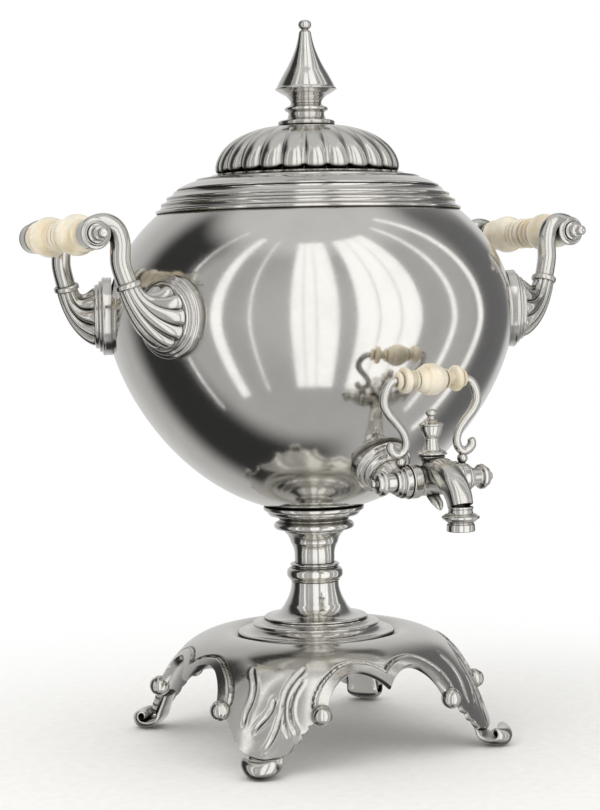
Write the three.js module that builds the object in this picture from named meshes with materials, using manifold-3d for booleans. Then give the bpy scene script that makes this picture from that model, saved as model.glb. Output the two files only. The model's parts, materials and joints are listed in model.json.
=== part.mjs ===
// A silver-plated tea urn (samovar): a globe-shaped bowl on a turned pedestal and a cast base with
// four scrolled legs, a lift-off lid with a gadrooned dome, two turned side handles, and a tap whose
// tapered plug is turned by a lyre-shaped bail.
// Millimetres, +Z up. The tap faces -Y, the handles +X and -X. The pieces are laid out about the urn's
// axis, and the whole is then moved along Y so that the origin lies under the middle of its length.
import * as THREE from 'three';
import { mergeVertices } from 'three/addons/utils/BufferGeometryUtils.js';
import Module from 'manifold-3d';

const wasm = await Module();
wasm.setup();

// Gap between seated pieces, and how far a cutter runs past the face it cuts.
const clearance = 0.3;
const overrun = 3;
// Weld distance for shared vertices.
const weld = 1e-4;

// Base casting: a four-legged shell cut by an opening on each side.
const base = {
  seatRadius: 47.6, seatHeight: 63.8, shoulderHeight: 66.6, reach: 108, hemHeight: 12,
  wall: 4.2, sides: 28,
};
// Spans of an apron's arch and curl are shares of the base's reach.
const apronShares = { archSpan: 0.1667, curlSpan: 0.3796 };
const apron = { archTop: 54, cusp: 44.6, curlHeight: 37, curlRadius: 5.6 };
apron.archSpan = base.reach * apronShares.archSpan;
apron.curlSpan = base.reach * apronShares.curlSpan;
const band = { width: 5.6, relief: 1.2 };
const foot = { overhang: 12.6, neckInset: 7, height: 18.5, thickness: 4.6, width: 21, sole: 7 };
foot.reach = base.reach + foot.overhang;
foot.neckRadius = base.reach - foot.neckInset;

// Pedestal, from the base up.
const moulding = { radius: 47, height: 8.6 };
const lowerStem = { radius: 31, height: 21.7 };
const knop = { radius: 16.8, height: 11 };
const upperStem = { radius: 18.4, height: 19.6 };
const cup = { radius: 30.4, height: 14.6 };
const cupHollowShare = 0.3;
const rod = { radius: 3.2, nutWidth: 14, nutHeight: 6, washerRadius: 12, washerThickness: 2.4 };
const pedestalSides = 14;
const rodSides = 12;

// Bowl: an ellipse above its widest point and a fuller curve below it.
const bowl = { radius: 121.2, depth: 117.4, rise: 92.3, mouth: 77, wall: 1.4, seamDrop: 34, sides: 28 };
const boss = { radius: 20, height: 9, threadDepth: 7 };
const rim = { width: 13.6, stand: 4.3, lip: 1.8, bezelWall: 1.6, bezel: 8 };

// Heater: an iron slug in a closed well in the middle of the bowl, with a loose cap.
const well = { radius: 21, height: 140, wall: 1.4, floor: 3, collar: 24, collarHeight: 4 };
const iron = { radius: 16.5, headroom: 26.7, eyeRadius: 5, eyeWire: 1.8 };
const wellCap = { height: 4, knobRadius: 6, knobHeight: 9, plug: 5 };

// Lid and its finial.
const skirt = { radius: 78, rise: 9.4, wall: 1.8, flange: 7, play: 1.2 };
const dome = { radius: 55, height: 28, wall: 1.8, topRadius: 17, lobes: 24, relief: 2.3, hem: 2.2 };
const finialFoot = { radius: 16.8, height: 13 };
const finialCone = { radius: 18.4, height: 42 };
const finialBall = { radius: 3.8, height: 7.6 };
const stud = { radius: 2.4, grip: 12, tail: 9, nutWidth: 10, nutHeight: 4, washer: 8, washerThickness: 1.6 };
const lidSides = 14;
const skirtSides = 21;

// Side handles: a rose on the bowl, a reeded arm rising to a scroll, and a turned grip on a rod.
const rose = { radius: 23, height: 7, azimuth: 22.5, heightOnBowl: 2.4 };
const arm = { flare: 18.6, neck: 6.6, tube: 5.6, tip: 3.2, relief: 1.1, reeds: 8, stud: 3, studTail: 11 };
const armRing = { radius: 7.4, width: 2.6, inboard: 19, drop: 29, spread: 1.6 };
const scroll = { standOff: 34.8, rise: 48.7, halfSpan: 45, radius: 8.6, width: 11 };
scroll.reach = bowl.radius + scroll.standOff;
const grip = { radius: 11.8 };
const gripRod = { radius: 2.2, endRadius: 5.4, endHeight: 10.6, thread: 6 };
const handleNut = { width: 11, height: 4 };
const gripSides = 12;
const smallSides = 10;
const roseSides = 16;

// Tap: rose, body with a cross barrel and a swan spout, and the urn-shaped ornament over the barrel.
const tap = { reach: 137, drop: 87.5, tilt: 32, roseDrop: 82 };
const tapRose = { radius: 16.8, height: 8.4, hub: 9.8, lift: 3.6 };
const barrel = { halfLength: 15.7, radius: 9.3, topBoss: 5, topHeight: 13.6 };
const shank = { radius: 5.4, tail: 12, nutWidth: 17, nutHeight: 5, gasket: 10.5, gasketThickness: 2 };
const tapNeck = { radius: 6.6, swell: 7.9 };
const spout = { reach: 28.5, rise: 4.5, root: 8, end: 6, bore: 3.4, drop: 11.6 };
const nozzle = { radius: 10.3, height: 13.2 };
const leaf = { length: 15, radius: 3.1 };
const urn = { radius: 8.3, height: 24.4 };

// Tap key: a tapered plug across the barrel, turned by the bail between its two collars.
const plug = { large: 6.4, small: 5.6, stub: 2.8, port: 3, halfLength: 28 };
const keyCollar = { radius: 8.8, width: 8 };
const keyEnd = { radius: 6.8, length: 13.6 };
const bail = { height: 54.6, halfSpan: 29.2, wire: 2.4, ball: 2.9, seat: 19.5, halfGrip: 22, tenon: 1.6 };
const bailGrip = { radius: 8.8 };
const wireSides = 6;
const tapSides = 8;
const turnedSides = 14;

// Lengths along the axis that follow from the stack of pieces.
const stack = {};
stack.moulding = base.seatHeight + clearance;
stack.lowerStem = stack.moulding + moulding.height + clearance;
stack.knop = stack.lowerStem + lowerStem.height + clearance;
stack.upperStem = stack.knop + knop.height + clearance;
stack.cup = stack.upperStem + upperStem.height + clearance;
stack.bowl = stack.cup + cup.height * (1 - cupHollowShare);
stack.equator = stack.bowl + bowl.depth;

// Colours, roughness and metalness of the finishes.
const finishes = {
  plate: { color: 0xc9c7c0, roughness: 0.18, metalness: 1 },
  cast: { color: 0xb9b6ae, roughness: 0.3, metalness: 1 },
  brass: { color: 0xb08d4a, roughness: 0.35, metalness: 1 },
  iron: { color: 0x3a3836, roughness: 0.7, metalness: 0.6 },
  ivory: { color: 0xe6dcc6, roughness: 0.35, metalness: 0 },
  leather: { color: 0x5a3d28, roughness: 0.8, metalness: 0 },
};

const group = new THREE.Group();
const assembly = new THREE.Group();
assembly.position.y = (tap.reach + spout.reach + nozzle.radius - bowl.radius) / 2;
group.add(assembly);

function addMesh(name, geometry, finish) {
  const mesh = new THREE.Mesh(geometry, new THREE.MeshStandardMaterial(finishes[finish]));
  mesh.name = name;
  assembly.add(mesh);
}

// Merges shared vertices and drops the triangles that have collapsed at a pole.
function welded(geometry) {
  const bare = geometry.clone();
  bare.deleteAttribute('normal');
  bare.deleteAttribute('uv');
  const merged = mergeVertices(bare, weld);
  const kept = [];
  const index = merged.index.array;
  for (let i = 0; i < index.length; i += 3) {
    const [a, b, c] = [index[i], index[i + 1], index[i + 2]];
    if (a !== b && b !== c && c !== a) kept.push(a, b, c);
  }
  merged.setIndex(kept);
  return merged;
}

function toSolid(geometry) {
  const merged = welded(geometry);
  const vertProperties = new Float32Array(merged.attributes.position.array);
  const triVerts = new Uint32Array(merged.index.array);
  return new wasm.Manifold(new wasm.Mesh({ numProp: 3, vertProperties, triVerts }));
}

function toGeometry(solid) {
  const mesh = solid.getMesh();
  const geometry = new THREE.BufferGeometry();
  geometry.setAttribute('position', new THREE.BufferAttribute(new Float32Array(mesh.vertProperties), 3));
  geometry.setIndex(new THREE.BufferAttribute(new Uint32Array(mesh.triVerts), 1));
  geometry.computeVertexNormals();
  return geometry;
}

function cut(geometry, ...cutters) {
  return toGeometry(cutters.reduce((solid, cutter) => solid.subtract(toSolid(cutter)), toSolid(geometry)));
}

function join(...geometries) {
  const [first, ...rest] = geometries;
  return toGeometry(rest.reduce((solid, next) => solid.add(toSolid(next)), toSolid(first)));
}

// A turned piece about Z. The profile runs up its outside; it ends on the axis or closes on itself.
function turned(profile, sides) {
  const points = profile.map(([radius, height]) => new THREE.Vector2(radius, height));
  return welded(new THREE.LatheGeometry(points, sides).rotateX(Math.PI / 2));
}

// Profile points from shares of a radius and a height, above a starting height.
function scaled(shares, radius, height, start = 0) {
  return shares.map(([r, h]) => [r * radius, start + h * height]);
}

// Closes an outside profile down a straight bore.
function bored(outside, bore) {
  const [first, last] = [outside[0], outside[outside.length - 1]];
  return [[bore, first[1]], ...outside, [bore, last[1]], [bore, first[1]]];
}

// Closes an outside profile on the axis.
function solidProfile(outside) {
  const [first, last] = [outside[0], outside[outside.length - 1]];
  return [[0, first[1]], ...outside, [0, last[1]]];
}

// Moves each point of a smooth open profile along its normal, outwards for a positive distance.
function offset(profile, distance) {
  return profile.map(([r, z], i) => {
    const before = profile[Math.max(i - 1, 0)];
    const after = profile[Math.min(i + 1, profile.length - 1)];
    const along = new THREE.Vector2(after[0] - before[0], after[1] - before[1]).normalize();
    return [r + along.y * distance, z - along.x * distance];
  });
}

function closed(outside, inside) {
  return [...outside, ...[...inside].reverse(), outside[0]];
}

function cylinder(radius, bottom, top, sides = smallSides) {
  return turned(solidProfile([[radius, bottom], [radius, top]]), sides);
}

// Corner radius of a faceted hole whose flats keep clear of a round of this radius that turns in it.
function roundHole(radius, sides) {
  return radius / Math.cos(Math.PI / sides);
}

// A hexagonal nut about Z with a threaded hole, drawn as a plain bore.
function hexNut(width, height, hole, bottom) {
  const outer = new THREE.Shape();
  const corner = width / 2 / Math.cos(Math.PI / 6);
  for (let i = 0; i < 6; i += 1) {
    const angle = (i * Math.PI) / 3;
    if (i === 0) outer.moveTo(corner * Math.cos(angle), corner * Math.sin(angle));
    else outer.lineTo(corner * Math.cos(angle), corner * Math.sin(angle));
  }
  outer.closePath();
  const bore = new THREE.Path();
  const boreSteps = 4;
  bore.absarc(0, 0, roundHole(hole, 2 * boreSteps), 0, 2 * Math.PI, true);
  outer.holes.push(bore);
  const settings = { depth: height, bevelEnabled: false, curveSegments: boreSteps };
  return new THREE.ExtrudeGeometry(outer, settings).translate(0, 0, bottom);
}

// Skins a row of rings, each with the same number of points, and closes both ends.
function skinned(rings) {
  const count = rings[0].length;
  const positions = rings.flat().flatMap((point) => point.toArray());
  const index = [];
  for (let i = 0; i < rings.length - 1; i += 1) {
    for (let j = 0; j < count; j += 1) {
      const [a, b] = [i * count + j, i * count + ((j + 1) % count)];
      const [c, d] = [a + count, b + count];
      index.push(a, b, d, a, d, c);
    }
  }
  for (const row of [0, rings.length - 1]) {
    const centre = rings[row].reduce((sum, point) => sum.add(point), new THREE.Vector3());
    positions.push(...centre.divideScalar(count).toArray());
    const middle = positions.length / 3 - 1;
    for (let j = 0; j < count; j += 1) {
      const [a, b] = [row * count + j, row * count + ((j + 1) % count)];
      if (row === 0) index.push(middle, b, a);
      else index.push(middle, a, b);
    }
  }
  const geometry = new THREE.BufferGeometry();
  geometry.setAttribute('position', new THREE.Float32BufferAttribute(positions, 3));
  geometry.setIndex(index);
  return outward(geometry);
}

// Turns a closed geometry's faces outwards if its signed volume is negative.
function outward(geometry) {
  const position = geometry.attributes.position;
  const index = geometry.index.array;
  const [a, b, c] = [new THREE.Vector3(), new THREE.Vector3(), new THREE.Vector3()];
  let volume = 0;
  for (let i = 0; i < index.length; i += 3) {
    a.fromBufferAttribute(position, index[i]);
    b.fromBufferAttribute(position, index[i + 1]);
    c.fromBufferAttribute(position, index[i + 2]);
    volume += a.dot(b.cross(c));
  }
  if (volume < 0) {
    const turnedIndex = Array.from(index);
    for (let i = 0; i < turnedIndex.length; i += 3) {
      [turnedIndex[i], turnedIndex[i + 1]] = [turnedIndex[i + 1], turnedIndex[i]];
    }
    geometry.setIndex(turnedIndex);
  }
  return geometry;
}

// A copy of a geometry mirrored in X or Y by signs of 1 or -1.
function mirrored(geometry, signX, signY = 1) {
  const copy = geometry.index ? geometry.clone() : welded(geometry);
  copy.scale(signX, signY, 1);
  return outward(copy);
}

// A bar swept along a smooth curve that stays square to one fixed side direction. The radius at each
// share of the length comes from a function.
function swept(curve, side, radiusAt, steps, sides = tapSides) {
  const rings = [];
  for (let i = 0; i <= steps; i += 1) {
    const share = i / steps;
    const centre = curve.getPointAt(share);
    const tangent = curve.getTangentAt(share);
    const across = side.clone().addScaledVector(tangent, -side.dot(tangent)).normalize();
    const up = new THREE.Vector3().crossVectors(tangent, across);
    const ring = [];
    for (let j = 0; j < sides; j += 1) {
      const angle = (2 * Math.PI * j) / sides;
      ring.push(centre.clone()
        .addScaledVector(across, radiusAt(share) * Math.cos(angle))
        .addScaledVector(up, radiusAt(share) * Math.sin(angle)));
    }
    rings.push(ring);
  }
  return skinned(rings);
}

// A value read from a table of [share, value] rows, joined by straight lines.
function along(table) {
  return (share) => {
    let i = 1;
    while (i < table.length - 1 && table[i][0] < share) i += 1;
    const [[s0, v0], [s1, v1]] = [table[i - 1], table[i]];
    return THREE.MathUtils.lerp(v0, v1, THREE.MathUtils.clamp((share - s0) / (s1 - s0), 0, 1));
  };
}

function curveThrough(points) {
  const vectors = points.map(([x, y, z]) => new THREE.Vector3(x, y, z));
  return new THREE.CatmullRomCurve3(vectors, false, 'centripetal');
}

// Bowl outline, from the axis under the bowl up to the mouth.
const bowlShares = { flank: 0.32, floor: 0.62 };
const lowerBowl = new THREE.CubicBezierCurve(
  new THREE.Vector2(0, stack.bowl),
  new THREE.Vector2(bowl.radius * bowlShares.floor, stack.bowl),
  new THREE.Vector2(bowl.radius, stack.equator - bowl.depth * bowlShares.flank),
  new THREE.Vector2(bowl.radius, stack.equator),
);

function bowlOutline() {
  const outline = [];
  const [lowerSteps, upperSteps] = [8, 4];
  for (let i = 0; i < lowerSteps; i += 1) {
    outline.push(lowerBowl.getPoint(i / lowerSteps).toArray());
  }
  const mouthAngle = Math.acos(bowl.mouth / bowl.radius);
  for (let i = 0; i <= upperSteps; i += 1) {
    const angle = (mouthAngle * i) / upperSteps;
    outline.push([bowl.radius * Math.cos(angle), stack.equator + bowl.rise * Math.sin(angle)]);
  }
  return outline;
}

const outerBowl = bowlOutline();
const innerBowl = innerOutline(0);
const mouthHeight = outerBowl[outerBowl.length - 1][1];

// The bowl's inner face, drawn in by a margin.
function innerOutline(margin) {
  const inside = offset(outerBowl, -bowl.wall - margin);
  inside[0] = [0, outerBowl[0][1] + bowl.wall + margin];
  return inside;
}

// Everything inside the bowl's outer face, to trim what stands outside it.
function bowlBlank(margin) {
  const outside = offset(outerBowl, margin);
  outside[0] = [0, outerBowl[0][1] - margin];
  return turned([...outside, [0, outside[outside.length - 1][1]]], bowl.sides);
}

// Height on the bowl's outer face where the radius below the widest point is given, or the reverse.
function bowlRadiusAt(height) {
  let i = 1;
  while (i < outerBowl.length - 1 && outerBowl[i][1] < height) i += 1;
  const [[r0, z0], [r1, z1]] = [outerBowl[i - 1], outerBowl[i]];
  return THREE.MathUtils.mapLinear(height, z0, z1, r0, r1);
}

// How far the bowl's face leans below the upright at a height under its widest point.
function bowlTiltAt(height) {
  const step = clearance;
  return Math.atan2(bowlRadiusAt(height + step) - bowlRadiusAt(height - step), 2 * step);
}

// Places a piece made about Z so that its axis points out of the bowl: turned to an azimuth from +X
// and tilted below the level.
function faceOut(geometry, azimuth, tilt, origin) {
  const out = new THREE.Vector3(
    Math.cos(tilt) * Math.cos(azimuth), Math.cos(tilt) * Math.sin(azimuth), -Math.sin(tilt));
  const level = new THREE.Vector3(-Math.sin(azimuth), Math.cos(azimuth), 0);
  const up = new THREE.Vector3().crossVectors(out, level);
  const matrix = new THREE.Matrix4().makeBasis(level, up, out).setPosition(origin);
  const placed = geometry.index ? geometry.clone() : welded(geometry);
  return outward(placed.applyMatrix4(matrix));
}

const rodHole = rod.radius + clearance;
const rodBottom = base.seatHeight - base.wall - rod.washerThickness - rod.nutHeight - 3 * clearance;

// Shell of the base before its openings are cut: a flat seat, a shoulder and a long fall to the hem.
const shoulderShares = [
  [0, 0], [0.13, 1], [0.34, 0.965], [0.53, 0.87], [0.67, 0.725], [0.8, 0.51], [0.9, 0.28], [0.985, 0],
];

function baseOutline() {
  const fall = base.shoulderHeight - base.hemHeight;
  const width = base.reach - base.seatRadius;
  const [, ...rest] = shoulderShares;
  return [[base.seatRadius, base.seatHeight],
    ...rest.map(([r, z]) => [base.seatRadius + r * width, base.hemHeight + z * fall])].reverse();
}

const archShares = { cuspGrowth: 1.4, cuspEase: 0.42, crownEase: 1.45, fallEase: 2, steps: 3 };

// Half of an apron's double arch in the XZ plane, from the middle cusp to the inside of the curl.
function archPoints(grow) {
  const crown = apron.archTop + grow;
  const inner = apron.curlSpan - apron.curlRadius + grow;
  const path = new THREE.Path();
  path.moveTo(0, apron.cusp + grow * archShares.cuspGrowth);
  path.quadraticCurveTo(apron.archSpan * archShares.cuspEase, crown, apron.archSpan, crown);
  path.bezierCurveTo(
    apron.archSpan * archShares.crownEase, crown,
    inner, apron.curlHeight + apron.curlRadius * archShares.fallEase, inner, apron.curlHeight,
  );
  return path.getPoints(archShares.steps);
}

// Edge of a leg below the curl, as shares of the curl's span and height.
const legEdgeShares = [[0.86, 0.84], [1.04, 0.8], [1.16, 0.66], [1.34, 0.61], [1.46, 0.48], [1.64, 0.36]];

// The opening is the arch with the leg edges below it, and runs past the hem.
function openingPoints() {
  const edge = legEdgeShares.map(([x, z]) => new THREE.Vector2(apron.curlSpan * x, apron.curlHeight * z));
  const last = edge[edge.length - 1];
  return [...archPoints(0), ...edge, new THREE.Vector2(last.x, -overrun)];
}

// Closes half an outline by its mirror image and extrudes it right through the base along Y.
function throughBase(half) {
  const mirror = half.slice(1).map((point) => new THREE.Vector2(-point.x, point.y)).reverse();
  const length = 2 * (base.reach + overrun);
  const shape = new THREE.Shape([...half, ...mirror]);
  const blank = new THREE.ExtrudeGeometry(shape, { depth: length, bevelEnabled: false });
  return blank.translate(0, 0, -length / 2).rotateX(Math.PI / 2);
}

// One scrolled foot in side view, from the leg's ankle down to a flat sole and round its roll.
const footShares = { ankle: 0.98, heel: 0.985, roll: 0.34 };

function footBlock() {
  const roll = foot.height * footShares.roll;
  const centre = foot.reach - roll;
  const shape = new THREE.Shape();
  shape.moveTo(foot.neckRadius * footShares.ankle, foot.height);
  shape.quadraticCurveTo(foot.neckRadius * footShares.heel, roll / 2, centre - foot.sole, 0);
  shape.lineTo(centre, 0);
  shape.absarc(centre, roll, roll, -Math.PI / 2, Math.PI * 0.8, false);
  shape.quadraticCurveTo(centre - roll, roll, foot.neckRadius + foot.thickness, foot.height);
  const settings = { depth: foot.width, bevelEnabled: false, curveSegments: 6 };
  return new THREE.ExtrudeGeometry(shape, settings).translate(0, 0, -foot.width / 2).rotateX(Math.PI / 2);
}

function outlineRadiusAt(outline, height) {
  let i = 1;
  while (i < outline.length - 1 && outline[i][1] < height) i += 1;
  const [[r0, z0], [r1, z1]] = [outline[i - 1], outline[i]];
  return THREE.MathUtils.mapLinear(height, z0, z1, r0, r1);
}

function baseCasting() {
  const outline = baseOutline();
  const outside = [...outline, [rodHole, base.seatHeight]];
  const inside = [...offset(outline, -base.wall), [rodHole, base.seatHeight - base.wall]];
  const shell = toSolid(turned(closed(outside, inside), base.sides));
  const opening = throughBase(openingPoints());
  const openings = [toSolid(opening), toSolid(opening.clone().rotateZ(Math.PI / 2))];
  const skin = closed(offset(outline, band.relief), offset(outline, -base.wall / 2));
  const relief = toSolid(turned(skin, base.sides));
  const bandRegion = throughBase(archPoints(band.width));
  const bands = [toSolid(bandRegion), toSolid(bandRegion.clone().rotateZ(Math.PI / 2))];
  let casting = shell;
  bands.forEach((region) => { casting = casting.add(relief.intersect(region)); });
  openings.forEach((cutter) => { casting = casting.subtract(cutter); });
  const curlY = Math.sqrt(outlineRadiusAt(outline, apron.curlHeight) ** 2 - apron.curlSpan ** 2);
  for (let i = 0; i < 4; i += 1) {
    for (const sign of [-1, 1]) {
      const curl = new THREE.SphereGeometry(apron.curlRadius, 6, 4);
      curl.translate(sign * apron.curlSpan, -curlY, apron.curlHeight).rotateZ((i * Math.PI) / 2);
      casting = casting.add(toSolid(curl));
    }
    casting = casting.add(toSolid(footBlock().rotateZ(Math.PI / 4 + (i * Math.PI) / 2)));
  }
  return toGeometry(casting);
}

// Turned outlines of the pedestal as shares of each piece's radius and height.
const mouldingShares = [[1, 0], [1, 0.16], [0.8, 0.6], [0.755, 0.64], [0.755, 0.8], [0.67, 0.9], [0.67, 1]];
const mouldingHollowShares = [[0.94, 0], [0.6, 0.5], [0.5, 1]];
const lowerStemShares = [
  [1, 0], [1, 0.06], [0.82, 0.17], [0.67, 0.3], [0.56, 0.48], [0.48, 0.72], [0.458, 1],
];
const lowerStemHollowShares = [[0.84, 0], [0.5, 0.35], [0.3, 1]];
const knopShares = [[0.845, 0], [0.9, 0.15], [1, 0.34], [1, 0.56], [0.9, 0.76], [0.8, 0.8], [0.8, 1]];
const upperStemShares = [[0.652, 0], [0.66, 0.2], [0.71, 0.45], [0.783, 0.63], [0.9, 0.83], [1, 1]];
const cupShares = [
  [0.62, 0], [0.74, 0.05], [0.74, 0.34], [0.7, 0.4], [0.84, 0.5], [0.92, 0.74], [1, 0.88], [1, 1],
];

function pedestal() {
  const stepped = closed(
    scaled(mouldingShares, moulding.radius, moulding.height, stack.moulding),
    scaled(mouldingHollowShares, moulding.radius, moulding.height, stack.moulding),
  );
  addMesh('foot_moulding', turned(stepped, pedestalSides), 'plate');
  const lower = closed(
    scaled(lowerStemShares, lowerStem.radius, lowerStem.height, stack.lowerStem),
    scaled(lowerStemHollowShares, lowerStem.radius, lowerStem.height, stack.lowerStem),
  );
  addMesh('lower_stem', turned(lower, pedestalSides), 'plate');
  const ring = scaled(knopShares, knop.radius, knop.height, stack.knop);
  addMesh('stem_knop', turned(bored(ring, rodHole), pedestalSides), 'plate');
  const upper = scaled(upperStemShares, upperStem.radius, upperStem.height, stack.upperStem);
  addMesh('upper_stem', turned(bored(upper, rodHole), pedestalSides), 'plate');
  const cupOutside = scaled(cupShares, cup.radius, cup.height, stack.cup);
  const cupBlank = turned(bored(cupOutside, rodHole), pedestalSides);
  addMesh('bowl_cup', cut(cupBlank, bowlBlank(clearance)), 'plate');
}

// Tie rod from under the base up into the boss in the bowl, with its washer and nut.
function tieRod() {
  const top = stack.bowl + bowl.wall + boss.threadDepth;
  addMesh('tie_rod', cylinder(rod.radius, rodBottom, top, rodSides), 'brass');
  const washerTop = base.seatHeight - base.wall - clearance;
  const outside = [[rod.washerRadius, washerTop - rod.washerThickness], [rod.washerRadius, washerTop]];
  addMesh('base_washer', turned(bored(outside, rodHole), smallSides), 'brass');
  const nutTop = washerTop - rod.washerThickness - clearance;
  addMesh('base_nut', hexNut(rod.nutWidth, rod.nutHeight, rodHole, nutTop - rod.nutHeight), 'brass');
}

// Rose origins and directions on the bowl.
const handleAngle = THREE.MathUtils.degToRad(rose.azimuth);
const handleHeight = stack.equator + rose.heightOnBowl;
const tapTilt = THREE.MathUtils.degToRad(tap.tilt);
const tapHeight = stack.equator - tap.drop;
const tapRoseHeight = stack.equator - tap.roseDrop;
const tapOut = new THREE.Vector3(0, -Math.cos(tapTilt), -Math.sin(tapTilt));
const tapSeat = new THREE.Vector3(0, -bowlRadiusAt(tapRoseHeight), tapRoseHeight);
const tapAzimuth = -Math.PI / 2;

function roseSeat(signX, signY) {
  return new THREE.Vector3(
    signX * bowl.radius * Math.cos(handleAngle), signY * bowl.radius * Math.sin(handleAngle), handleHeight);
}

function roseAzimuth(signX, signY) {
  return Math.atan2(signY * Math.sin(handleAngle), signX * Math.cos(handleAngle));
}

const quadrants = [
  ['left', -1, 'front', -1], ['left', -1, 'back', 1], ['right', 1, 'front', -1], ['right', 1, 'back', 1],
];

// Everything inside the bowl's inner face, less a margin, to trim what seats inside.
function bowlHollow(margin) {
  const inside = innerOutline(margin);
  return turned([...inside, [0, inside[inside.length - 1][1]]], bowl.sides);
}

function trimmedInside(geometry) {
  return toGeometry(toSolid(geometry).intersect(toSolid(bowlHollow(clearance))));
}

// The globe is spun in two halves that meet at a seam under its widest point.
function bowlHalves() {
  const wall = turned([...outerBowl, ...[...innerBowl].reverse()], bowl.sides);
  const cutters = [cylinder(rodHole, stack.bowl - overrun, stack.bowl + bowl.wall + overrun)];
  for (const [, signX, , signY] of quadrants) {
    const hole = cylinder(arm.stud + clearance, -arm.studTail, overrun);
    cutters.push(faceOut(hole, roseAzimuth(signX, signY), 0, roseSeat(signX, signY)));
  }
  const tapHole = cylinder(shank.radius + clearance, -shank.tail, shank.tail, roseSides);
  cutters.push(faceOut(tapHole, tapAzimuth, tapTilt, tapSeat));
  const seam = stack.equator - bowl.seamDrop;
  const below = cylinder(bowl.radius + overrun, stack.bowl - overrun, seam + clearance / 2, bowl.sides);
  const above = cylinder(bowl.radius + overrun, seam - clearance / 2, mouthHeight + overrun, bowl.sides);
  addMesh('bowl_lower', cut(wall, ...cutters, above), 'plate');
  addMesh('bowl_upper', cut(wall, ...cutters, below), 'plate');
}

// Stepped moulding over the bowl's shoulder, with a bezel down inside the mouth for the lid.
const rimShares = [[1, 0.08], [0.76, 0.34], [0.76, 0.44], [0.51, 0.6], [0.51, 0.72], [0.2, 1]];
const rimShare = (bowl.mouth + rim.width) / bowl.radius;
const rimBase = stack.equator + bowl.rise * Math.sqrt(1 - rimShare ** 2) + clearance;
const rimTop = mouthHeight + rim.stand;
const rimHeight = rimTop - rimBase;
const bezelRadius = bowl.mouth - rim.lip - rim.bezelWall;

function rimCollar() {
  const outside = rimShares.map(([r, z]) => [bowl.mouth + r * rim.width, rimBase + z * rimHeight]);
  const seat = offset(outerBowl, clearance)
    .filter(([r, z]) => z > stack.equator && r < bowl.mouth + rim.width);
  const bezelFoot = mouthHeight - rim.bezel;
  const sleeve = bezelRadius + rim.bezelWall;
  const inside = [
    [bezelRadius, rimTop], [bezelRadius, bezelFoot], [sleeve, bezelFoot], [sleeve, seat[seat.length - 1][1]],
  ];
  return turned([...outside, ...inside, ...seat.reverse(), outside[0]], bowl.sides);
}

// Boss inside the bowl that takes the tie rod, the heater well on it, and what stands in the well.
const bossTop = stack.bowl + bowl.wall + clearance + boss.height;
const wellFloor = bossTop + clearance;
const capKnobShares = [[1, 0], [0.5, 0.5], [1, 0.75], [0.5, 1]];

function heater() {
  const body = cylinder(boss.radius, stack.bowl, bossTop, pedestalSides);
  const threadTop = stack.bowl + bowl.wall + boss.threadDepth + clearance;
  const thread = cylinder(rodHole, stack.bowl - overrun, threadTop);
  addMesh('bowl_boss', cut(trimmedInside(body), thread), 'brass');
  const top = wellFloor + well.height;
  const tube = [
    [0, wellFloor], [well.radius, wellFloor], [well.radius, top - well.collarHeight],
    [well.collar, top - well.collarHeight], [well.collar, top], [well.radius - well.wall, top],
    [well.radius - well.wall, wellFloor + well.floor], [0, wellFloor + well.floor],
  ];
  addMesh('heater_well', turned(tube, pedestalSides), 'brass');
  const slugFloor = wellFloor + well.floor + clearance;
  const slugTop = top - iron.headroom;
  const slug = cylinder(iron.radius, slugFloor, slugTop, pedestalSides);
  const eye = new THREE.TorusGeometry(iron.eyeRadius, iron.eyeWire, wireSides - 1, smallSides)
    .rotateX(Math.PI / 2);
  addMesh('heater_iron', join(slug, eye.translate(0, 0, slugTop + iron.eyeRadius)), 'iron');
  const capFloor = top + clearance;
  const plugRadius = well.radius - well.wall - clearance;
  const knobFloor = capFloor + wellCap.height;
  const cap = [
    [plugRadius, capFloor - wellCap.plug], [plugRadius, capFloor], [well.collar, capFloor],
    [well.collar, capFloor + wellCap.height / 2],
    ...scaled(capKnobShares, wellCap.knobRadius, wellCap.knobHeight, knobFloor),
  ];
  addMesh('heater_cap', turned(solidProfile(cap), pedestalSides), 'brass');
}

// Lid skirt: a shallow cone with a rolled edge that rests on the rim. A flange ring under it stands
// inside the rim.
const skirtFloor = rimTop + clearance;
const skirtShares = [[1, 0], [1, 0.18], [0.975, 0.25], [0.88, 0.58], [0.78, 0.87], [0.73, 1]];
const [skirtBend] = scaled(skirtShares.slice(-2), skirt.radius, skirt.rise, skirtFloor);
const skirtLap = 5.4;

const flangeRadius = bezelRadius - skirt.play;
const flangeBore = flangeRadius - skirt.wall;

function lidFlange() {
  const outside = [[flangeRadius, skirtFloor - skirt.flange], [flangeRadius, skirtFloor - clearance]];
  return turned(bored(outside, flangeBore), skirtSides);
}

function lidSkirt() {
  const hole = dome.radius - skirtLap;
  const outside = scaled(skirtShares, skirt.radius, skirt.rise, skirtFloor);
  const profile = [
    ...outside, [hole, skirtFloor + skirt.rise], [hole, skirtFloor + skirt.rise - skirt.wall],
    [skirtBend[0], skirtBend[1] - skirt.wall], [flangeBore, skirtFloor + skirt.wall],
    [flangeBore, skirtFloor], outside[0],
  ];
  return turned(profile, skirtSides);
}

// Gadrooned dome: lobes run up from a scalloped hem and fade towards the finial.
const domeFloor = skirtFloor + skirt.rise + clearance;
const domeTop = domeFloor + dome.height;
const domeShares = [[0.985, 0], [1, 0.1], [0.94, 0.38], [0.78, 0.74], [0.47, 0.98]];
const [domeHipShare, domeMouthShare] = [0.7, 0.96];
const lobeSamples = 3;

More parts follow.
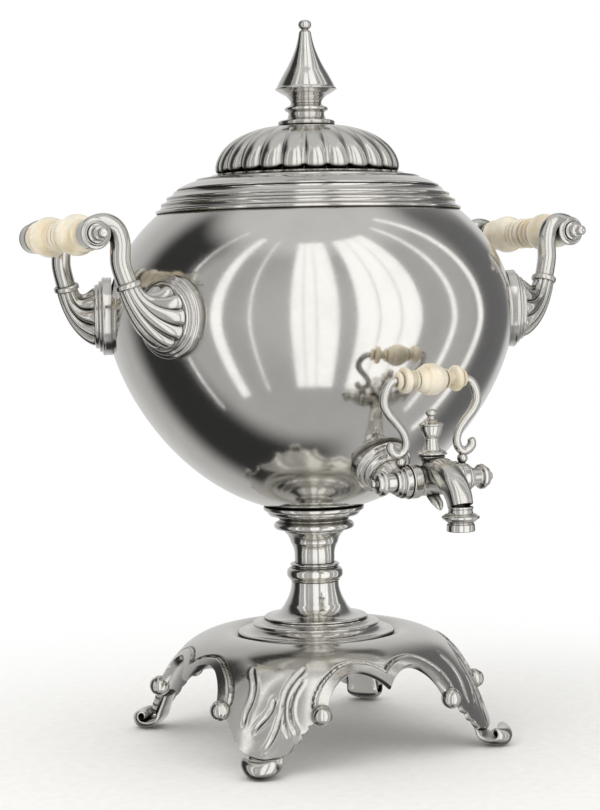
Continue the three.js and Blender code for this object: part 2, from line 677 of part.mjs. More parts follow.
function gadroonedDome() {
  const columns = dome.lobes * lobeSamples;
  const ring = (radiusAt, heightAt) => Array.from({ length: columns }, (_, j) => {
    const crest = Math.sin((Math.PI * (j % lobeSamples)) / lobeSamples);
    const angle = (2 * Math.PI * j) / columns;
    const radius = radiusAt(crest);
    return new THREE.Vector3(radius * Math.cos(angle), radius * Math.sin(angle), heightAt(crest));
  });
  const rings = domeShares.map(([r, h], i) => {
    const fade = 1 - (i / domeShares.length) ** 2;
    const hem = i === 0 ? dome.hem : 0;
    return ring(
      (crest) => r * dome.radius - dome.relief * fade * (1 - crest),
      (crest) => domeFloor + h * dome.height + (i === 1 ? dome.hem / 2 : hem) * (1 - crest),
    );
  });
  const plain = (radius, height) => ring(() => radius, () => height);
  rings.push(plain(dome.topRadius, domeTop), plain(stud.radius + clearance, domeTop));
  rings.push(plain(stud.radius + clearance, domeTop - dome.wall), plain(dome.topRadius, domeTop - dome.wall));
  const inside = dome.radius - dome.wall;
  rings.push(plain(domeHipShare * inside, domeFloor + domeHipShare * dome.height));
  rings.push(plain((inside - dome.relief) * domeMouthShare, domeFloor));
  return wrapped(rings);
}

// Skins a row of rings whose last one joins the first, as on a hollow ring.
function wrapped(rings) {
  const count = rings[0].length;
  const index = [];
  for (let i = 0; i < rings.length; i += 1) {
    const next = (i + 1) % rings.length;
    for (let j = 0; j < count; j += 1) {
      const k = (j + 1) % count;
      const [a, b, c, d] = [i * count + j, i * count + k, next * count + j, next * count + k];
      index.push(a, b, d, a, d, c);
    }
  }
  const positions = rings.flat().flatMap((point) => point.toArray());
  const geometry = new THREE.BufferGeometry();
  geometry.setAttribute('position', new THREE.Float32BufferAttribute(positions, 3));
  geometry.setIndex(index);
  return outward(geometry);
}

const finialFootShares = [
  [1, 0], [1, 0.18], [0.9, 0.26], [0.62, 0.34], [0.6, 0.62], [0.69, 0.68], [0.69, 0.88], [0.54, 1],
];
const finialConeShares = [
  [0.49, 0], [0.6, 0.05], [0.93, 0.165], [1, 0.2], [0.97, 0.235], [0.76, 0.38], [0.6, 0.52], [0.41, 0.7],
  [0.24, 0.87], [0.2, 1],
];
const finialBallShares = [[1, 0], [0.5, 0.2], [0.75, 0.36], [0.87, 0.58], [0.6, 0.9]];

function lid() {
  addMesh('lid_flange', lidFlange(), 'plate');
  addMesh('lid_skirt', lidSkirt(), 'plate');
  addMesh('lid_dome', gadroonedDome(), 'plate');
  const footFloor = domeTop + clearance;
  const studHole = stud.radius + clearance;
  const footOutside = scaled(finialFootShares, finialFoot.radius, finialFoot.height, footFloor);
  addMesh('finial_foot', turned(bored(footOutside, studHole), lidSides), 'plate');
  const coneFloor = footFloor + finialFoot.height + clearance;
  const cone = turned(
    solidProfile(scaled(finialConeShares, finialCone.radius, finialCone.height, coneFloor)), lidSides);
  const socket = cylinder(studHole, coneFloor - overrun, coneFloor + stud.grip + clearance);
  addMesh('finial_cone', cut(cone, socket), 'plate');
  const ballFloor = coneFloor + finialCone.height + clearance;
  const ball = solidProfile(scaled(finialBallShares, finialBall.radius, finialBall.height, ballFloor));
  addMesh('finial_ball', turned(ball, smallSides), 'plate');
  const studFoot = domeTop - dome.wall - stud.tail;
  addMesh('finial_stud', cylinder(stud.radius, studFoot, coneFloor + stud.grip), 'brass');
  const washerTop = domeTop - dome.wall - clearance;
  const washer = [[stud.washer, washerTop - stud.washerThickness], [stud.washer, washerTop]];
  addMesh('finial_washer', turned(bored(washer, studHole), smallSides), 'brass');
  const nutTop = washerTop - stud.washerThickness - clearance;
  addMesh('finial_nut', hexNut(stud.nutWidth, stud.nutHeight, studHole, nutTop - stud.nutHeight), 'brass');
}

const roseShares = [[1, -0.6], [1, 0.3], [0.93, 0.42], [0.86, 0.6], [0.82, 1]];

// Centre line of a handle arm's tube in the quadrant of positive X and Y, as shares of the scroll's
// radius outboard of its centre and above it. It rises from the ring, hooks over the scroll and ends
// inside it.
const hookShares = [
  [-1.8, -0.5], [-1.5, 0.35], [-0.95, 0.72], [-0.25, 0.72], [0.35, 0.42], [0.5, -0.1], [0.2, -0.45],
];
const gripHeight = stack.equator + scroll.rise;
const ringCentre = new THREE.Vector3(
  scroll.reach - armRing.inboard, scroll.halfSpan + armRing.spread, gripHeight - armRing.drop);

function tubeCurve() {
  const hook = hookShares.map(([x, z]) => [
    scroll.reach + x * scroll.radius, scroll.halfSpan, gripHeight + z * scroll.radius,
  ]);
  return curveThrough([ringCentre.toArray(), ...hook]);
}

// How far a side of the trumpet runs on before it bends: down from the ring and out from the rose, each
// with what its upper side adds or loses, and how far the bell draws in.
const trumpetReach = { ring: 13.5, ringSide: 4.5, rose: 8, roseSide: 2, bell: 4 };
const trumpetShares = [0, 0.2, 0.42, 0.64, 0.84, 1];

// The reeded trumpet of an arm. Each side line is a curve from the ring down and out to the rose's
// face, and reeds raise it in even waves that grow towards the rose.
function trumpet(direction) {
  const out = new THREE.Vector3(Math.cos(handleAngle), Math.sin(handleAngle), 0);
  const level = new THREE.Vector3(-Math.sin(handleAngle), Math.cos(handleAngle), 0);
  const up = new THREE.Vector3(0, 0, 1);
  const across = level.clone().addScaledVector(direction, -level.dot(direction)).normalize();
  const inward = new THREE.Vector3().crossVectors(across, direction);
  if (inward.dot(out) > 0) inward.negate();
  const mouth = roseSeat(1, 1).addScaledVector(out, rose.height + clearance);
  const count = arm.reeds * 2;
  return skinned(trumpetShares.map((share) => Array.from({ length: count }, (_, j) => {
    const angle = (2 * Math.PI * j) / count;
    const [cos, sin] = [Math.cos(angle), Math.sin(angle)];
    const wave = Math.cos(arm.reeds * angle) * arm.relief * (1 + share) / 2;
    const ringWay = across.clone().multiplyScalar(cos).addScaledVector(inward, sin);
    const roseWay = level.clone().multiplyScalar(cos).addScaledVector(up, sin);
    const start = ringCentre.clone().addScaledVector(ringWay, arm.neck);
    const end = mouth.clone().addScaledVector(roseWay, arm.flare);
    const fromRing = start.clone()
      .addScaledVector(direction, trumpetReach.ringSide * sin - trumpetReach.ring);
    const fromRose = end.clone()
      .addScaledVector(out, trumpetReach.rose - trumpetReach.roseSide * sin)
      .addScaledVector(roseWay, -trumpetReach.bell);
    const line = new THREE.CubicBezierCurve3(start, fromRing, fromRose, end);
    return line.getPoint(share).addScaledVector(ringWay.lerp(roseWay, share).normalize(), wave);
  })));
}

// Turns a piece made about Z so that its axis lies along a direction, at a point.
function aim(geometry, direction, point) {
  const turn = new THREE.Quaternion().setFromUnitVectors(new THREE.Vector3(0, 0, 1), direction);
  const matrix = new THREE.Matrix4().makeRotationFromQuaternion(turn).setPosition(point);
  return (geometry.index ? geometry.clone() : welded(geometry)).applyMatrix4(matrix);
}

const alongX = new THREE.Vector3(1, 0, 0);
const alongY = new THREE.Vector3(0, 1, 0);
const rodClear = gripRod.radius + clearance;

// Tube radius along its length, then outlines of the ring and of the scroll's boss.
const tubeRadii = [[0, arm.tube], [0.6, arm.tube], [1, arm.tip]];
const ringShares = [[0.9, -0.5], [1, 0], [0.9, 0.5]];
const scrollShares = [[0.86, -0.5], [1, -0.2], [1, 0.2], [0.86, 0.5]];

function handleArm() {
  const curve = tubeCurve();
  const direction = curve.getTangentAt(0);
  const tube = swept(curve, alongY, along(tubeRadii), 12);
  const ringOutside = scaled(ringShares, armRing.radius, armRing.width);
  const ring = aim(turned(solidProfile(ringOutside), smallSides), direction, ringCentre);
  const centre = new THREE.Vector3(scroll.reach, scroll.halfSpan, gripHeight);
  const bossOutside = scaled(scrollShares, scroll.radius, scroll.width);
  const scrollBoss = aim(turned(solidProfile(bossOutside), smallSides), alongY, centre);
  const tailEnd = rose.height + clearance + overrun;
  const tail = faceOut(
    cylinder(arm.stud, -arm.studTail, tailEnd), roseAzimuth(1, 1), 0, roseSeat(1, 1));
  const bore = aim(cylinder(rodClear, -scroll.width, scroll.width), alongY, centre);
  return cut(join(trumpet(direction), tube, ring, scrollBoss, tail), bore);
}

const gripHalfShares = [
  [0.56, 1], [0.62, 0.92], [0.94, 0.76], [1, 0.58], [0.9, 0.42], [0.7, 0.33], [0.82, 0.25], [0.68, 0.16],
  [0.8, 0.06], [0.78, 0],
];
const buttonShares = [
  [1, 0], [0.72, 0.18], [0.78, 0.36], [0.66, 0.54], [0.42, 0.66], [0.46, 0.84], [0.25, 1],
];

function halfTurned(shares, radius, half) {
  const rise = shares.map(([r, h]) => [r * radius, h * half]);
  const lower = rise.map(([r, z]) => [r, -z]);
  return [...lower, ...rise.slice(0, -1).reverse()];
}

function sideHandles() {
  const armBlank = handleArm();
  const roseProfile = bored(scaled(roseShares, rose.radius, rose.height), arm.stud + clearance);
  const keepOut = bowlBlank(clearance);
  for (const [side, signX, end, signY] of quadrants) {
    const azimuth = roseAzimuth(signX, signY);
    const seat = roseSeat(signX, signY);
    const rosePiece = faceOut(turned(roseProfile, roseSides), azimuth, 0, seat);
    addMesh(`handle_rose_${side}_${end}`, cut(rosePiece, keepOut), 'plate');
    addMesh(`handle_arm_${side}_${end}`, mirrored(armBlank, signX, signY), 'plate');
    const nutTop = -bowl.wall - 2 * clearance;
    const nut = hexNut(
      handleNut.width, handleNut.height, arm.stud + clearance, nutTop - handleNut.height);
    addMesh(`handle_nut_${side}_${end}`, trimmedInside(faceOut(nut, azimuth, 0, seat)), 'brass');
    const face = scroll.halfSpan + scroll.width / 2 + clearance;
    const tip = new THREE.Vector3(signX * scroll.reach, signY * face, gripHeight);
    const outside = scaled(buttonShares, gripRod.endRadius, gripRod.endHeight);
    const socket = cylinder(rodClear, -overrun, gripRod.thread + clearance);
    const button = cut(turned(solidProfile(outside), smallSides), socket);
    addMesh(`grip_button_${side}_${end}`, aim(button, new THREE.Vector3(0, signY, 0), tip), 'plate');
  }
  const half = scroll.halfSpan - scroll.width / 2 - clearance;
  const gripProfile = halfTurned(gripHalfShares, grip.radius, half);
  const rodHalf = scroll.halfSpan + scroll.width / 2 + gripRod.thread;
  for (const [side, signX] of [['left', -1], ['right', 1]]) {
    const centre = new THREE.Vector3(signX * scroll.reach, 0, gripHeight);
    const gripBlank = turned(bored(gripProfile, rodClear), gripSides);
    addMesh(`grip_${side}`, aim(gripBlank, alongY, centre), 'ivory');
    addMesh(`grip_rod_${side}`, aim(cylinder(gripRod.radius, -rodHalf, rodHalf), alongY, centre), 'brass');
  }
}

const barrelCentre = new THREE.Vector3(0, -tap.reach, tapHeight);
const tapFace = tapSeat.clone().addScaledVector(tapOut, tapRose.lift + tapRose.height + clearance);
const tapRoseShares = [[1, -1.4], [1, 0.12], [0.93, 0.3], [0.8, 0.42], [0.78, 0.66], [0.62, 1]];

// Centre line of the neck from the rose's face to the barrel: shares of the run and of the drop.
const neckShares = [[0.22, 0.085], [0.45, 0.08], [0.72, 0.02]];

function neckCurve() {
  const run = barrelCentre.y - tapFace.y;
  const points = neckShares.map(([y, sag]) => [0, tapFace.y + y * run, tapFace.z + sag * run]);
  return curveThrough([tapFace.toArray(), ...points, barrelCentre.toArray()]);
}

// Centre line of the spout, from the barrel over its arch and down to the nozzle.
const spoutShares = [[0.02, 0.4], [0.35, 1], [0.66, 0.35], [0.92, -1.6]];

function spoutCurve() {
  const points = spoutShares.map(([y, z]) => [
    0, barrelCentre.y - y * spout.reach, barrelCentre.z + z * spout.rise,
  ]);
  const end = [0, barrelCentre.y - spout.reach, barrelCentre.z - spout.drop];
  return curveThrough([...points, end]);
}

const barrelShares = [[1, -1], [1, -0.5], [0.9, -0.44], [0.9, 0.44], [1, 0.5], [1, 1]];

// Radius along the neck from its flange, and along the spout.
const neckRadii = [[0, tapRose.hub], [0.06, tapRose.hub], [0.1, tapNeck.swell], [1, tapNeck.radius]];
const spoutRadii = [[0, spout.root], [1, spout.end]];

// Leaf that hangs under the barrel: shares of its length forward and of the barrel's radius down.
const leafShares = [[-0.2, 0.7], [0.25, 1.15], [0.58, 1.72]];
const leafRadii = [[0, leaf.radius], [0.6, leaf.radius], [1, leaf.radius / 3]];

function tapBody() {
  const barrelOutside = scaled(barrelShares, barrel.radius, barrel.halfLength);
  const body = aim(turned(solidProfile(barrelOutside), rodSides), alongX, barrelCentre);
  const neckLine = neckCurve();
  const spoutLine = spoutCurve();
  const neck = swept(neckLine, alongX, along(neckRadii), 5);
  const swan = swept(spoutLine, alongX, along(spoutRadii), 6);
  const face = tapRose.lift + tapRose.height;
  const tail = aim(cylinder(shank.radius, -shank.tail, face + overrun), tapOut, tapSeat);
  const topBoss = cylinder(barrel.topBoss, 0, barrel.topHeight).translate(...barrelCentre.toArray());
  const leafLine = curveThrough(leafShares.map(([y, z]) => [
    0, barrelCentre.y - y * leaf.length, barrelCentre.z - z * barrel.radius,
  ]));
  const drop = swept(leafLine, alongX, along(leafRadii), 3, wireSides);
  const [largeBore, smallBore] = [plug.large, plug.small]
    .map((radius) => roundHole(radius + clearance, smallSides));
  const boreEnd = barrel.halfLength + overrun;
  const plugBore = turned(solidProfile([[largeBore, -boreEnd], [smallBore, boreEnd]]), smallSides);
  const straight = aim(
    cylinder(spout.bore, -shank.tail - overrun, face + overrun, tapSides), tapOut, tapSeat);
  const way = swept(neckLine, alongX, () => spout.bore, 5);
  const out = swept(spoutLine, alongX, () => spout.bore, 5);
  const mouth = cylinder(spout.bore, -overrun, overrun, tapSides)
    .translate(0, barrelCentre.y - spout.reach, barrelCentre.z - spout.drop);
  const behind = aim(cylinder(tapRose.hub + overrun, -shank.tail, face + clearance), tapOut, tapSeat);
  const below = cylinder(nozzle.radius, -spout.drop - overrun, -spout.drop)
    .translate(0, barrelCentre.y - spout.reach, barrelCentre.z);
  const casting = join(cut(join(body, neck, swan, topBoss, drop), behind, below), tail);
  return cut(casting, aim(plugBore, alongX, barrelCentre), straight, way, out, mouth);
}

const nozzleShares = [[0.74, 0], [0.74, 0.3], [0.62, 0.38], [1, 0.5], [1, 0.64], [0.62, 0.76], [0.58, 1]];
const urnShares = [
  [1, 0], [1, 0.07], [0.55, 0.2], [0.43, 0.33], [0.68, 0.53], [0.74, 0.68], [0.5, 0.75], [0.25, 0.83],
  [0.27, 0.91], [0.14, 1],
];

function tapPieces() {
  const bore = shank.radius + clearance;
  const roseCentre = tapSeat.clone().addScaledVector(tapOut, tapRose.lift);
  const roseOutside = scaled(tapRoseShares, tapRose.radius, tapRose.height);
  const roseBlank = aim(turned(bored(roseOutside, bore), roseSides), tapOut, roseCentre);
  addMesh('tap_rose', cut(roseBlank, bowlBlank(clearance)), 'plate');
  addMesh('tap_body', tapBody(), 'plate');
  const nozzleTop = barrelCentre.z - spout.drop - clearance;
  const nozzleOutside = scaled(nozzleShares, nozzle.radius, nozzle.height, nozzleTop - nozzle.height);
  const outlet = turned(bored(nozzleOutside, spout.bore + clearance), turnedSides);
  addMesh('tap_nozzle', outlet.translate(0, barrelCentre.y - spout.reach, 0), 'plate');
  const urnFloor = barrelCentre.z + barrel.topHeight + clearance;
  const ornament = solidProfile(scaled(urnShares, urn.radius, urn.height, urnFloor));
  addMesh('tap_finial', turned(ornament, smallSides).translate(0, barrelCentre.y, 0), 'plate');
  const slope = shank.gasket * Math.tan(Math.abs(bowlTiltAt(tapRoseHeight) - tapTilt));
  const gasketFoot = -bowl.wall - slope - shank.gasketThickness;
  const gasketOutside = [[shank.gasket, gasketFoot], [shank.gasket, overrun]];
  const gasket = aim(turned(bored(gasketOutside, bore), smallSides), tapOut, tapSeat);
  addMesh('tap_gasket', trimmedInside(gasket), 'leather');
  const nut = hexNut(shank.nutWidth, shank.nutHeight, bore, gasketFoot - clearance - shank.nutHeight);
  addMesh('tap_locknut', trimmedInside(aim(nut, tapOut, tapSeat)), 'brass');
}

const collarShares = [[1, 0], [1, 0.5], [0.86, 0.56], [0.84, 0.8], [0.72, 1]];
const keyEndShares = [
  [0.74, 0], [0.72, 0.4], [0.95, 0.45], [1, 0.58], [0.9, 0.76], [0.36, 0.84], [0.4, 0.93], [0.2, 1],
];

// Bail arm on the +X side: shares of the bail's widest half span and of its height over the barrel.
const bailShares = [
  [0.75, 1], [0.86, 0.975], [0.97, 0.89], [1, 0.78], [0.91, 0.68], [0.75, 0.585], [0.605, 0.485], [0.55, 0.385],
  [0.59, 0.31], [0.7, 0.27], [0.82, 0.29], [0.885, 0.345], [0.85, 0.4],
];
const bailGripHalfShares = [
  [0.42, 1], [0.76, 0.84], [0.78, 0.7], [0.44, 0.6], [0.62, 0.45], [0.58, 0.34], [0.9, 0.24], [1, 0.08],
];
const bailRadii = [[0, bail.wire], [1, bail.wire]];
const ballSinkShare = 0.7;

function bailArm(collar) {
  const [x0, z0] = [barrelCentre.x, barrelCentre.z];
  const points = bailShares.map(([x, z]) => [
    x0 + x * bail.halfSpan, barrelCentre.y, z0 + z * bail.height,
  ]);
  const wire = swept(curveThrough(points), alongY, along(bailRadii), 18, wireSides);
  const tenonPoint = new THREE.Vector3(x0, barrelCentre.y, z0 + bail.height);
  const tenonEnd = bail.halfSpan * bailShares[0][0] + bail.wire / 2;
  const tenon = aim(cylinder(bail.tenon, bail.halfGrip / 2, tenonEnd, wireSides), alongX, tenonPoint);
  const ball = new THREE.SphereGeometry(bail.ball, 7, 5)
    .translate(bail.seat, barrelCentre.y, z0 + keyCollar.radius + bail.ball * ballSinkShare);
  const gripSpace = aim(cylinder(bailGrip.radius, 0, bail.halfGrip), alongX, tenonPoint);
  return cut(join(cut(wire, gripSpace), tenon, ball), collar);
}

// Everything that turns with the plug, made in place with the bail upright.
function tapKey() {
  const core = turned([
    [0, -plug.halfLength], [plug.stub, -plug.halfLength], [plug.stub, -barrel.halfLength],
    [plug.large, -barrel.halfLength], [plug.small, barrel.halfLength],
    [plug.stub, barrel.halfLength], [plug.stub, plug.halfLength], [0, plug.halfLength],
  ], smallSides);
  const portEnd = plug.large + overrun;
  const port = cylinder(plug.port, -portEnd, portEnd, tapSides).rotateY(Math.PI / 2);
  addMesh('key_plug', aim(cut(core, port), alongX, barrelCentre), 'brass');
  const stubHole = plug.stub + clearance;
  const inner = barrel.halfLength + clearance;
  const outer = inner + keyCollar.width + clearance;
  const collarProfile = (margin) => scaled(
    collarShares, keyCollar.radius + margin, keyCollar.width + 2 * margin, inner - margin);
  const collarSpace = turned(solidProfile(collarProfile(clearance)), turnedSides);
  const armBlank = bailArm(aim(collarSpace, alongX, barrelCentre));
  const collarRing = turned(bored(collarProfile(0), stubHole), turnedSides);
  const collarBlank = aim(collarRing, alongX, barrelCentre);
  const socket = cylinder(stubHole, outer - overrun, plug.halfLength + clearance);
  const knob = turned(solidProfile(scaled(keyEndShares, keyEnd.radius, keyEnd.length, outer)), smallSides);
  const knobBlank = aim(cut(knob, socket), alongX, barrelCentre);
  for (const [side, sign] of [['left', -1], ['right', 1]]) {
    addMesh(`key_collar_${side}`, mirrored(collarBlank, sign), 'plate');
    addMesh(`bail_arm_${side}`, mirrored(armBlank, sign), 'plate');
    addMesh(`key_knob_${side}`, mirrored(knobBlank, sign), 'plate');
  }
  const half = bail.halfGrip - clearance;
  const profile = halfTurned(bailGripHalfShares, bailGrip.radius, half);
  const centre = barrelCentre.clone().setZ(barrelCentre.z + bail.height);
  const gripBlank = turned(bored(profile, bail.tenon + clearance), gripSides);
  addMesh('bail_grip', aim(gripBlank, alongX, centre), 'ivory');
}

addMesh('base_casting', baseCasting(), 'cast');
pedestal();
tieRod();
bowlHalves();
addMesh('rim_collar', rimCollar(), 'plate');
heater();
lid();
sideHandles();
tapPieces();
tapKey();

export default group;
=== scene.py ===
"""Silver-plated tea urn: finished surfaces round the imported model.

Every new piece is a surface worked out with numpy, in millimetres about the urn's own axis, and is put
into the frame in metres. Turned pieces are profiles carried round an axis, arms and wires are sections
carried along a curve, and the cast base is one sheet mapped between its seat and its cut edge.
"""

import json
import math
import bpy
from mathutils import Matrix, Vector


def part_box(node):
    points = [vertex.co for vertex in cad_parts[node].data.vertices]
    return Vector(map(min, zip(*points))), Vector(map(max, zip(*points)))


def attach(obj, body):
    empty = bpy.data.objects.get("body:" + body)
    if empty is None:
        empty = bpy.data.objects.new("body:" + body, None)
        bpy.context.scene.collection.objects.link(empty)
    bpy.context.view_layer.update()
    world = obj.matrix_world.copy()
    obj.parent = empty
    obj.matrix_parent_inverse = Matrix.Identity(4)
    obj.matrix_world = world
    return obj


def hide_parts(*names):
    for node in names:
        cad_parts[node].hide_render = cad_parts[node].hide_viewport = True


bl_info = {
    "name": "Tea Urn",
    "version": (1, 0, 0),
    "blender": (4, 5, 0),
    "location": "3D View > Sidebar > Tea Urn",
    "description": "Builds the finished surfaces of a silver-plated tea urn round its packed model",
    "category": "Object",
}

import bmesh
import bpy
import numpy as np
from bpy.props import FloatProperty, IntProperty, PointerProperty
from mathutils import Matrix

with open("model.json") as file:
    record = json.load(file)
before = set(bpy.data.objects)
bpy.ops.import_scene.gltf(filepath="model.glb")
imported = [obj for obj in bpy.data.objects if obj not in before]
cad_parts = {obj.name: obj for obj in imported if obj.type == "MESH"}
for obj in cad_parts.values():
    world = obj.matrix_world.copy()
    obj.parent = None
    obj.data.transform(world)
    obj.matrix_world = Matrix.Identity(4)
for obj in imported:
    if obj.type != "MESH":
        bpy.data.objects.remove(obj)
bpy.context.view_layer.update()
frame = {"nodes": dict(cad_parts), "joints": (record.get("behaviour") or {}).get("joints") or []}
NODES = frame["nodes"]
MM = 0.001
BLACK, WHITE = (0, 0, 0), (1, 1, 1)


def floor_of(node):
    """Height of a CAD node's lowest point, in millimetres."""
    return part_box(node)[0].z / MM


def top_of(node):
    """Height of a CAD node's highest point, in millimetres."""
    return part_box(node)[1].z / MM


# Places taken from the frame, in millimetres.
AXIS_Y = (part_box("tie_rod")[0].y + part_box("tie_rod")[1].y) / 2 / MM
KEY_JOINT = next(joint for joint in frame["joints"] if joint["type"] == "hinge")
BARREL = np.array(KEY_JOINT["pos_m"]) / MM - np.array([0, AXIS_Y, 0])
# Sign and name of each way along X, and of each way along Y.
SIDES = ((-1, "left"), (1, "right"))
ENDS = ((-1, "front"), (1, "back"))

# Bowl, in millimetres.
BOWL_FLOOR = floor_of("bowl_lower")
BOWL_RADIUS = 121.2
BOWL_DEPTH = 117.4
BOWL_RISE = 92.3
BOWL_MOUTH = 77.0
BOWL_WALL = 1.4
EQUATOR = BOWL_FLOOR + BOWL_DEPTH
# Handles of the curve below the widest point, as shares of the radius and of the depth.
BOWL_EASE = (0.62, 0.32)

# Side handles, in millimetres.
ROSE_AZIMUTH = math.radians(22.5)
ROSE_HEIGHT = 7.0
ROSE_LIFT = 2.4
SCROLL_REACH = 156.0
SCROLL_SPAN = 45.0
SCROLL_RISE = 48.7
SCROLL_RADIUS = 8.6
SCROLL_WIDTH = 11.0
GAP = 0.3

# Tap, in millimetres: the tilt of its rose on the bowl, and the run of its spout.
TAP_TILT = math.radians(32)
TAP_ROSE_DROP = 82.0
TAP_ROSE_LIFT = 3.6
TAP_ROSE_HEIGHT = 8.4
BARREL_HALF = 15.7
SPOUT_REACH = 28.5
SPOUT_DROP = 11.6
BAIL_HEIGHT = 54.6
BAIL_SPAN = 29.2


# Curves and profiles


def unit(vector):
    """A vector brought to a length of one, along its last axis."""
    return vector / np.linalg.norm(vector, axis=-1, keepdims=True)


def smooth_curve(points, count):
    """Centripetal Catmull-Rom curve through the points, resampled at even steps of its length: three rounds
    of blending between neighbours, over knots spaced by the square root of the points' distances."""
    steps_per_point = 40
    points = np.array(points, float)
    ends = np.vstack([2 * points[0] - points[1], points, 2 * points[-1] - points[-2]])
    knots = np.concatenate([[0], np.cumsum(np.linalg.norm(np.diff(ends, axis=0), axis=1) ** 0.5)])
    fine = np.linspace(knots[1], knots[-2], steps_per_point * len(points))
    span = np.clip(np.searchsorted(knots, fine, side="right") - 1, 1, len(points) - 1)
    t = fine[:, None]
    level = [ends[span + j] for j in (-1, 0, 1, 2)]
    k = [knots[span + j][:, None] for j in (-1, 0, 1, 2)]
    for pairs in (((0, 1), (1, 2), (2, 3)), ((0, 2), (1, 3)), ((1, 2),)):
        level = [(k[b] - t) / (k[b] - k[a]) * low + (t - k[a]) / (k[b] - k[a]) * high
                 for (a, b), low, high in zip(pairs, level, level[1:])]
    return resampled(level[0], count)


def resampled(points, count):
    """The same line with its points at even steps of its length."""
    steps = np.linalg.norm(np.diff(points, axis=0), axis=1)
    length = np.concatenate([[0], np.cumsum(steps)])
    even = np.linspace(0, length[-1], count)
    return np.stack([np.interp(even, length, points[:, i]) for i in range(points.shape[1])], axis=1)


def cubic(t, start, one, two, end):
    """Cubic curve from start to end with two handles, at shares t."""
    return (1 - t) ** 3 * start + 3 * t * (1 - t) ** 2 * one + 3 * t ** 2 * (1 - t) * two + t ** 3 * end


def arc(start, end, bulge):
    """Circular arc whose height over its chord is bulge times half the chord, to the right of travel."""
    count = 14
    start, end = np.array(start, float), np.array(end, float)
    share = np.linspace(0, 1, count + 1)[1:, None]
    if bulge == 0:
        return start + (end - start) * share
    half = np.linalg.norm(end - start) / 2
    along = (end - start) / (2 * half)
    out = np.array([along[1], -along[0]])
    theta = 2 * math.atan(bulge)
    turn = theta * (2 * share - 1)
    centre = (start + end) / 2 - out * half / math.tan(theta)
    return centre + half / math.sin(theta) * (out * np.cos(turn) + along * np.sin(turn))


def moulding(*moves):
    """Profile of (radius, height) points. Each move after the first gives its end and, for an arc, its
    bulge."""
    points = [np.array([moves[0][:2]], float)]
    for move in moves[1:]:
        bulge = move[2] if len(move) > 2 else 0
        points.append(arc(points[-1][-1], move[:2], bulge))
    return np.vstack(points)


def softened(profile, step=0.35, radius=0.3):
    """Resamples a profile at an even step and rounds its corners by a Gaussian average over a radius."""
    length = np.linalg.norm(np.diff(profile, axis=0), axis=1).sum()
    line = resampled(profile, max(int(length / step), 8))
    reach = max(int(3 * radius / step), 1)
    kernel = np.exp(-0.5 * (np.arange(-reach, reach + 1) * step / radius) ** 2)
    kernel /= kernel.sum()
    padded = np.vstack([2 * line[0] - line[reach:0:-1], line, 2 * line[-1] - line[-2:-reach - 2:-1]])
    return np.stack([np.convolve(padded[:, i], kernel, "valid") for i in range(2)], axis=1)


def table(share, rows):
    """Values read from rows of (share, value) by straight lines."""
    return np.interp(share, *np.array(rows, float).T)


def bell(distance, width):
    """Bell curve of height one: e to the power of minus the square of distance over width."""
    return np.exp(-(distance / width) ** 2)


def ring(outside, bore):
    """Closes an outside profile down a straight bore."""
    return np.vstack([[[bore, outside[0, 1]]], outside, [[bore, outside[-1, 1]]]])


def capped(outside):
    """Closes an outside profile on the axis at both ends."""
    return ring(outside, 0)


def lifted(profile, height):
    """A profile raised by a height."""
    return profile + np.array([0, height])


# Surfaces


def grid_faces(rows, columns, wrap_rows=False, wrap_columns=True):
    """Quads of a grid of points numbered row by row."""
    row = np.arange(rows if wrap_rows else rows - 1)
    column = np.arange(columns if wrap_columns else columns - 1)
    i, j = np.meshgrid(row, column, indexing="ij")
    k, m = (i + 1) % rows, (j + 1) % columns
    corners = [i * columns + j, i * columns + m, k * columns + m, k * columns + j]
    return np.stack(corners, axis=-1).reshape(-1, 4)


def round_angles(count):
    """Even angles once round, from zero."""
    return np.linspace(0, 2 * np.pi, count, endpoint=False)


def around(radius, angle, height):
    """The points (r cos a, r sin a, z)."""
    return np.stack(np.broadcast_arrays(radius * np.cos(angle), radius * np.sin(angle), height), axis=-1)


def skin(rings, closed=False):
    """Surface over rings of points, which may close from the last ring to the first."""
    return rings.reshape(-1, 3), grid_faces(len(rings), rings.shape[1], wrap_rows=closed)


def revolved(profile, sides, closed=False):
    """Surface of revolution: the point (r cos a, r sin a, z) for each profile point (r, z) and angle a."""
    return skin(around(profile[:, :1], round_angles(sides), profile[:, 1:]), closed)


def carried(path, side, width, depth, sides, power=2.0):
    """Section carried along a path. At each path point the section is the superellipse
    (width |cos a|^(2/power), depth |sin a|^(2/power)), laid in the plane of the side direction and the
    normal to it. Both ends are closed on their centres."""
    tangent = unit(np.gradient(path, axis=0))
    side = np.array(side, float)
    across = unit(side - tangent * (tangent @ side)[:, None])
    up = np.cross(tangent, across)
    angle = round_angles(sides)
    wide, deep = (np.sign(wave) * np.abs(wave) ** (2 / power) for wave in (np.cos(angle), np.sin(angle)))
    a = width[:, None] * wide
    b = depth[:, None] * deep
    rings = path[:, None] + across[:, None] * a[..., None] + up[:, None] * b[..., None]
    ends = [np.repeat(path[i:i + 1], sides, 0)[None] for i in (0, len(path) - 1)]
    return skin(np.concatenate([ends[0], rings, ends[1]]))


def joined(*surfaces):
    """Several closed surfaces as one set of points and faces."""
    points, faces, count = [], [], 0
    for surface_points, surface_faces in surfaces:
        points.append(surface_points)
        faces.append(surface_faces + count)
        count += len(surface_points)
    return np.vstack(points), np.vstack(faces)


def placed(surface, origin, out):
    """Moves a surface made about Z so that Z points out and its origin is at a place."""
    out = unit(np.array(out, float))
    across = np.cross((0, 0, 1), out)
    across = unit(across) if np.linalg.norm(across) > 1e-6 else np.array([1.0, 0, 0])
    basis = np.stack([across, np.cross(out, across), out])
    return surface[0] @ basis + np.array(origin, float), surface[1]


